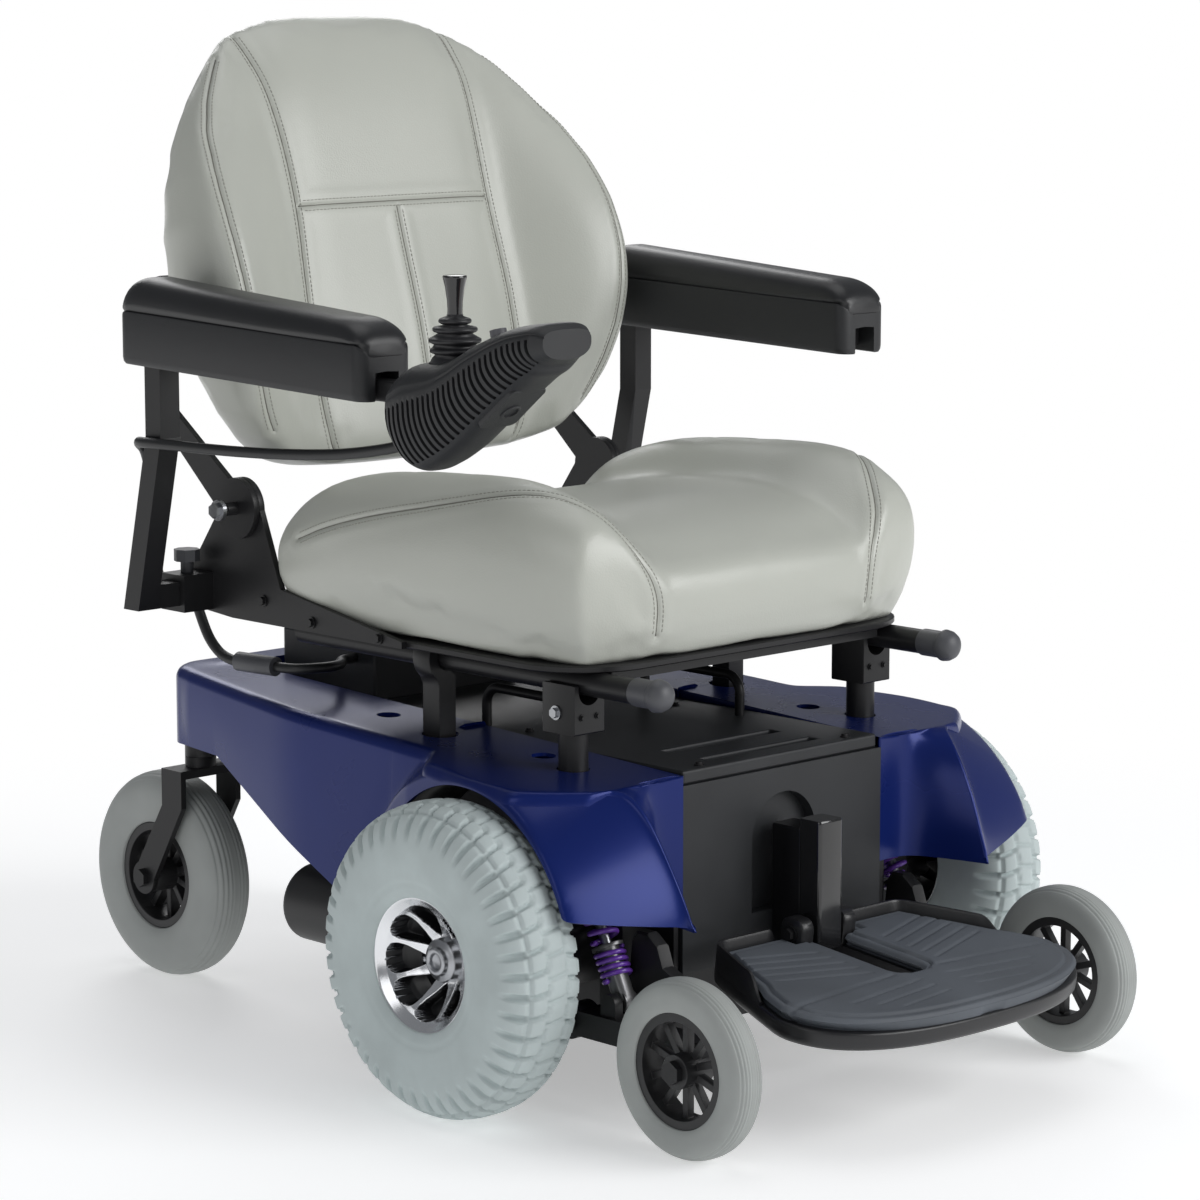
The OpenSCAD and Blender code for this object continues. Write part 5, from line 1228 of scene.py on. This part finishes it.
SKIRT = ((12, -33), (6, -33), (2.5, -31.8), (0.6, -29), (0, -25), (0, -18.5), (0.5, -17), (1.8, -16.2), (12, -16.2))
tray = piece("platform_tray", *loft([foot_ring(*s) for s in SKIRT]), PLATE)
slot = [(SLOT, 40), (SLOT, SLOT_END)]
slot += [(SLOT * math.cos(t), SLOT_END - SLOT * math.sin(t)) for t in np.linspace(0.1, 3.04, 24)]
slot += [(-SLOT, SLOT_END), (-SLOT, 40)]
drill = piece("slot_drill", *loft([[on_foot(x, y, z) for x, y in slot] for z in (-45, 5)]), PLATE)
cut_out(tray, drill, "EXACT")
smooth(tray)
give(crease(tray, 40), "foot_platform", "foot_plate")

# %% Rear rim and lugs
parts = []
for sign in (-1, 1):
    run = [(p, n) for p, n in zip(loop, inward) if p[1] > -84 and sign * p[0] > 38]
    run.sort(key=lambda pn: math.atan2(sign * pn[0][0], pn[0][1] + 60))
    rings = []
    for p, n in run:
        high = -14 + 18 * glide(-84, -58, p[1]) * glide(38, 50, abs(p[0]))
        wall = [(0.2, -20), (0.2, high - 2), (1.2, high), (3.4, high), (4.6, high - 2), (4.6, -20)]
        rings.append([on_foot(*(p + n * w), z) for w, z in wall])
    side = [(4 + 9 * math.cos(t), 5 + 9 * math.sin(t)) for t in np.linspace(0, math.pi / 2, 9)]
    shape = [(13, -18)] + side + [(-y, z) for y, z in reversed(side)] + [(-13, -18)]
    lug = [[on_foot(sign * x, y * k, -18 + (z + 18) * k) for y, z in shape]
           for x, k in ((18.9, 0.93), (20.4, 1), (33.0, 1), (34.5, 0.93))]
    parts += [loft(rings), loft(lug)]
rim = piece("platform_rim_and_lugs", *joined(parts), PLATE)
give(crease(rim, 48), "foot_platform", ())


# %% Mat
MAT_HALF, MAT_FRONT = FOOT_HALF - 2, FOOT_FRONT - 2
MAT_TOP, MAT_SLOT, MAT_NOTCH = -5.2, 18.6, 36.2


def mat_outer(y):
    if y < -FOOT_MID:
        return bow(MAT_HALF, MAT_FRONT, -y - FOOT_MID)
    return foot_edge(y) - 2 - 4.5 * glide(-92, -70, y)


def from_front(x, y):
    """Distance from the rounded front edge, taken to the chord between the points level with and ahead of a place."""
    dx = mat_outer(y) - x
    dy = y + FOOT_MID + bow(MAT_FRONT, MAT_HALF, x) if x < MAT_HALF else 0
    return dx * dy / max(1e-6, math.hypot(dx, dy)) if y < -FOOT_MID else dx


def mat_inner(y):
    if y > -15:
        return MAT_NOTCH
    if y > SLOT_END:
        return MAT_SLOT
    return math.sqrt(max(0, MAT_SLOT ** 2 - (y - SLOT_END) ** 2))


def mat_height(x, y, inside):
    rise = 1.7 * glide(0, 3, inside - 9)
    rise -= 3.4 * (1 - glide(0, 4.5, inside)) ** 2
    border = bell((inside - 9) / 1.5) * 0.9
    cut = 0
    for k in range(5):
        d = abs((y + 24 + 15.5 * k) - 0.32 * (x - 90)) / math.hypot(1, 0.32)
        cut = max(cut, 1.5 * bell(d / 1.4) * glide(38, 44, x) * glide(132, 124, x))
    split = 1.5 * bell((y + 112 + 0.10 * x) / 2.0) * glide(24, 30, x)
    for k in range(3):
        d = abs((y + 134 + 16 * k) + 0.12 * x)
        cut = max(cut, 1.3 * bell(d / 1.5) * glide(14, 20, x) * glide(118 - 16 * k, 110 - 16 * k, x))
    return rise - border - cut - split


ys = list(np.linspace(8.5, -14.9, 16)) + list(np.linspace(-15.1, -FOOT_MID, 72))
ys += [-FOOT_MID - MAT_FRONT * math.sin(t) ** 0.8 for t in np.linspace(0.02, math.pi / 2 - 0.05, 84)]
half = []
for y in ys:
    inner, outer = mat_inner(y), max(0.5, mat_outer(y))
    row = []
    for u in np.linspace(0, 1, 84):
        x = inner + (outer - inner) * u
        inside = min(from_front(x, y), 9 - y, x - inner if y > -118 else 60)
        row.append((x, y, MAT_TOP + mat_height(x, y, max(0, inside))))
    half.append(row)
halves = [loft([[on_foot(sign * x, y, z) for x, y, z in row] for row in half], closed=False) for sign in (-1, 1)]
mat = piece("platform_mat", *joined(halves), MAT, merge=0.00003)
if mat.data.polygons[len(mat.data.polygons) // 2].normal.z < 0:
    mat.data.flip_normals()
thicken(mat, 0.0108, -1)
smooth(mat)
give(crease(mat, 50), "foot_platform", "foot_mat")
print("platform faces", len(tray.data.polygons), "mat faces", len(mat.data.polygons))

# %% [markdown]
# ## Platform post
# The platform hangs on a slim upright in front of the box. Behind it a lower slide enters the box, in matt black.

# %% Post and slide
def upright(name, x, y0, y1, z0, z1, corner, material):
    steps = ((1, z0), (1, z1 - 2.5), (0.985, z1 - 1), (0.95, z1), (0.4, z1))
    post = stacked(rounded(x, y0, y1, corner, corner, 6), (y0 + y1) / 2, steps)
    return crease(piece(name, *post, material), 38)


give(upright("platform_post", 15, -165, -139, 124, 238, 3.5, GLOSS), "base", "foot_post")
give(upright("platform_slide", 14, -141, -106, 124, 229, 2, MATT_BLACK_AND_SHADE), "base", "foot_post")
pin = rod(lambda c, s, x: at(x, PIN_Y + c, PIN_Z + s), 7, (-33, 33), 28)
give(piece("platform_pin", *pin, STEEL), "base", "foot_post")

# %% [markdown]
# ## Saddles and hooks
# The seat rails rest at the front in saddles, blocks with a deep round cut on top of a post, and at the rear they are
# caught by hooks that wrap round the rail from outside. Both are front views with a depth. The seat plate above them
# takes its place from the box of its solid, and gets rounded corners and two cross bars.

# %% Saddles and hooks
def front_view(outline, y0, y1, sign, edge=1.2):
    steps = ((y0, 0.96), (y0 + edge, 1), (y1 - edge, 1), (y1, 0.96))
    return slice_of(outline, steps, lambda u, z, y: at(sign * (RAIL_X + u), y, z))


cut = [(13.2 * math.sin(t), 360 - 13.2 * math.cos(t)) for t in np.radians(np.linspace(-90, 90, 25))]
saddle = [(-18, 322), (-18, 365), (-13.2, 365)] + cut + [(13.2, 365), (18, 365), (18, 322)]
wrap = [(23 * math.cos(t), RAIL_Z + 23 * math.sin(t)) for t in np.radians(np.linspace(-52, 112, 26))]
wrap += [(12.6 * math.cos(t), RAIL_Z + 12.6 * math.sin(t)) for t in np.radians(np.linspace(112, -100, 30))]
hook = [(-9, 262), (11, 262), (11, 340)] + wrap + [(-9, 348)]
for side, sign in SIDES:
    post = rod(lambda c, s, z: at(sign * RAIL_X + c, -31 + s, z), 13, (262, 324), 40)
    parts = (front_view(saddle, -51, -11, sign), front_view(hook, 129, 151, sign), post)
    holder = piece("rail_holders_" + side, *joined(parts), FRAME)
    give(crease(holder, 32), "base", "seat_posts")
print("rail holders", RAIL_X, "mm from the middle")

# %% Seat plate
pan_low, pan_high = (tuple(1000 * v for v in corner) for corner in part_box("seat_pan"))
PAN_X, PAN_FRONT, PAN_REAR, PAN_TOP = pan_high[0], pan_low[1] - AXLE_Y, pan_high[1] - AXLE_Y, pan_high[2]


def slab(x, y0, y1, front, rear, z0, z1):
    steps = ((0.994, z0), (1, z0 + 1), (1, z1 - 1), (0.994, z1))
    return stacked(rounded(x, y0, y1, front, rear, 10), (y0 + y1) / 2, steps)


plate_low = PAN_TOP - 6
bars = [slab(PAN_X, PAN_FRONT, PAN_REAR, 74, 14, plate_low, PAN_TOP)]
bars += [slab(168, y, y + 28, 2, 2, plate_low - 10, plate_low + 1) for y in (PAN_FRONT + 14, PAN_REAR - 42)]
pan = piece("seat_plate", *joined(bars), FRAME)
give(crease(pan, 38), "base", "seat_pan")
print("seat plate", round(PAN_X * 2), "mm wide")

# %% [markdown]
# ## Fasteners
# Screws and bolts repeat all over the chair, so one Geometry Nodes tree makes them: every point of a small mesh gets a
# washer and a head, turned to the point's own direction and scaled to its own size. The number of sides is an input:
# six for a hexagon, twenty for a round screw. Each set is one piece on its body.

# %% Fastener tree
bolt_tree, bolt_ids, b_in, b_out = new_tree("bolt_heads", [
    ("Sides", "NodeSocketInt", 6), ("Head Height", "NodeSocketFloat", 0.75), ("Finish", "NodeSocketMaterial", None)])
head = add(bolt_tree, "GeometryNodeMeshCylinder", {"Radius": 0.86})
lift = add(bolt_tree, "GeometryNodeTransform", {"Translation": (0, 0, 0.5)})
washer = add(bolt_tree, "GeometryNodeMeshCylinder", {"Vertices": 28, "Radius": 1.2, "Depth": 0.5})
both = add(bolt_tree, "GeometryNodeJoinGeometry")
points_in = add(bolt_tree, "GeometryNodeMeshToPoints")
facing = add(bolt_tree, "GeometryNodeInputNamedAttribute", {"Name": "facing"}, data_type="FLOAT_VECTOR")
size = add(bolt_tree, "GeometryNodeInputNamedAttribute", {"Name": "size"}, data_type="FLOAT")
aim = add(bolt_tree, "FunctionNodeAlignEulerToVector", axis="Z")
put = add(bolt_tree, "GeometryNodeInstanceOnPoints")
wire(bolt_tree, (b_in, "Sides", head, "Vertices"), (b_in, "Head Height", head, "Depth"),
     (head, "Mesh", lift, "Geometry"), (lift, "Geometry", both, "Geometry"), (washer, "Mesh", both, "Geometry"),
     (b_in, "Geometry", points_in, "Mesh"), (points_in, "Points", put, "Points"), (both, "Geometry", put, "Instance"),
     (facing, "Attribute", aim, "Vector"), (aim, "Rotation", put, "Rotation"), (size, "Attribute", put, "Scale"))
end_tree(bolt_tree, put, b_in, "Finish", b_out)


# %% Placing fasteners
def bolts(name, body, rows, material, sides=6, tall=0.75):
    """rows: place, direction and head radius in millimetres, each row on both sides, with x taken outwards."""
    rows = [((s * x, y, z), (s * u, v, w), r) for s in (-1, 1) for (x, y, z), (u, v, w), r in rows]
    mesh = bpy.data.meshes.new(name)
    mesh.from_pydata([tuple(at(*place)) for place, _, _ in rows], [], [])
    mesh.attributes.new("facing", "FLOAT_VECTOR", "POINT").data.foreach_set(
        "vector", [c for _, way, _ in rows for c in way])
    mesh.attributes.new("size", "FLOAT", "POINT").data.foreach_set("value", [r / 1000 for _, _, r in rows])
    made = run_tree(mesh, bolt_tree, {bolt_ids["Sides"]: sides, bolt_ids["Head Height"]: tall,
                                      bolt_ids["Finish"]: material})
    print(name, len(rows), "heads,", len(made.data.polygons), "faces")
    return give(made, body, ())


# %% Fasteners on the base
OUT, AHEAD, UP = (1, 0, 0), (0, -1, 0), (0, 0, 1)
frame_bolts = [((RAIL_X + d, -51.3, 337), AHEAD, 2.6) for d in (-9, 9)]
frame_bolts += [((226.3, y, z), OUT, 4.5) for y, z in ((170, 383), (262, 386), (330, 398))]
bolts("base_bolts", "base", frame_bolts, FRAME)
bolts("bright_bolts", "base", [((199.3, -29, 340), OUT, 5.2), ((251, 362, 480), OUT, 8)], STEEL)
bolts("lid_screws", "base", [((92, y, 289.2), UP, 3.6) for y in (-94, 120, 318)], FRAME, 20, 0.6)
bolts("hinge_bolts", "foot_platform", [((34.8, PIN_Y, PIN_Z), OUT, 6.5)], FRAME)

# %% [markdown]
# ## Rail end caps and cable tie
# Grey mushroom caps close the front ends of the seat rails. They are turned about the rail. A tie holds the lead to
# the armrest's upright.

# %% Caps and tie
CAP_LINE = ((0, -147), (4, -146.6), (8, -145.2), (11.4, -142.4), (13.6, -138), (14.3, -133), (13.4, -131.2),
            (12.2, -130.6), (12.2, -109), (11.6, -107.6), (11.1, -107.6))
ends = [revolved(lambda c, s, y: at(sign * RAIL_X + c, y, RAIL_Z + s), CAP_LINE, 44) for sign in (-1, 1)]
caps = piece("mushroom_caps", *joined(ends), CAP, merge=0.00001)
give(crease(caps, 50), "base", "rail_caps")
print("end caps", len(caps.data.polygons), "faces")
TIE = 11.9
tie = [[at(-ARM_X + c * TIE, 383 + s * TIE, z) for c, s in ((-1, -1), (1, -1), (1, 1), (-1, 1))] for z in (540, 549)]
band = piece("cable_tie", *loft(tie), CABLE, smooth=False)
soften(band, 0.8)
give(baked(band), "armrest_right", ())

# %% [markdown]
# ## Stabiliser arms and springs
# Each stabiliser wheel hangs on a cast arm that rises behind the wheel to a knuckle inside the strut. Its side view is
# drawn once and given a width. The purple spring is a coil between the base and the damper. Its last turns reach
# down round the damper and go with it.

# %% Cast arms
STRUT_X, STRUT_FOOT = 184, (-98, 98)
CASTING = ((-199, 72), (-197, 86), (-190, 102), (-183, 109), (-150, 119), (-127, 129), (-120, 147), (-108, 156),
           (-95, 156), (-89, 148), (-80, 82), (-80, 70), (-92, 67), (-108, 84), (-124, 100), (-150, 101), (-176, 92),
           (-181, 82), (-181, 68), (-190, 66))


def across(sign, y, z, r, x0, x1):
    return rod(lambda c, s, x: at(sign * x, y + c, z + s), r, (x0, x1), 24)


for side, sign in SIDES:
    cast = slice_of(CASTING, ((155, 0.965), (157, 1), (166.5, 1), (168.5, 0.965)),
                    lambda y, z, x: at(sign * x, y, z))
    parts = (cast, across(sign, *STRUT_FOOT, 4, 160, 196), across(sign, -190, 75, 7, 160, 180))
    arm = piece("stabiliser_casting_" + side, *joined(parts), FRAME)
    give(crease(arm, 30), "stabiliser_" + side, ())

# %% Springs
LEAN = math.atan2(22, 44)
SPRING_LOW, SPRING_TOP = 53.4, 117.6


def on_strut(sign, across, ahead, up):
    return at(sign * (STRUT_X + across), STRUT_FOOT[0] + ahead * math.cos(LEAN) + up * math.sin(LEAN),
              STRUT_FOOT[1] + up * math.cos(LEAN) - ahead * math.sin(LEAN))


def coil(name, sign, r, thick, low, high, turns):
    whole = turns * 2 * math.pi
    path = [on_strut(sign, r * math.cos(a), r * math.sin(a), low + (high - low) * a / whole)
            for a in np.linspace(0, whole, int(turns * 36))]
    return tube(name, path, thick / 1000, PURPLE, 10)


for side, sign in SIDES:
    spring = coil("strut_coil_" + side, sign, 11.5, 2.4, SPRING_LOW, SPRING_TOP, 7)
    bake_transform(spring)
    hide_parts("strut_spring_" + side)
    give(coil("spring_skirt_" + side, sign, 12.2, 2.2, 19.5, 46, 4.6), "damper_" + side, ())

# %% [markdown]
# ## Solids that keep their shape
# Frames, brackets and hubs are right as they are: they only get their finish and softened edges.

# %% Finishes on the solids
KEPT = {"chassis_frame": (FRAME, 1.0), "caster_beam": (FRAME, 1.0), "outriggers": (FRAME, 1.0),
        "battery_box": (BOX, 6.0), "battery_lid": (BOX, 2.0), "batteries": (BOX, 1.0), "lid_handles": (FRAME, 0),
        "control_module": (BOX, 3.0), "gear_motors": (MOTOR, 2.0), "strut_rods": (STEEL, 0), "seat_rails": (FRAME, 0),
        "hinge_brackets": (FRAME, 1.2), "receiver_knobs": (CAP, 1.0), "cable_connector": (CAP, 1.0),
        "back_canes": (FRAME, 1.0), "backrest_shell": (BOX, 2.5), "power_button": (RED, 0.8),
        "horn_button": (KEY, 0.8), "joystick_gimbal": (STEEL, 0)}
PAIRED = {"caster_fork_": (FRAME, 1.2), "caster_hub_": (HUB, 1.0), "antitip_arm_": (FRAME, 1.5),
          "antitip_hub_": (HUB, 1.0), "strut_damper_": (DAMPER, 0.6), "arm_frame_": (FRAME, 2.0)}
KEPT.update({node + side: look for node, look in PAIRED.items() for side, _ in SIDES})
for node, (look, edge) in KEPT.items():
    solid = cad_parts[node]
    solid.data.materials.clear()
    solid.data.materials.append(look)
    if edge:
        soften(solid, edge)
print("solids finished:", len(KEPT))
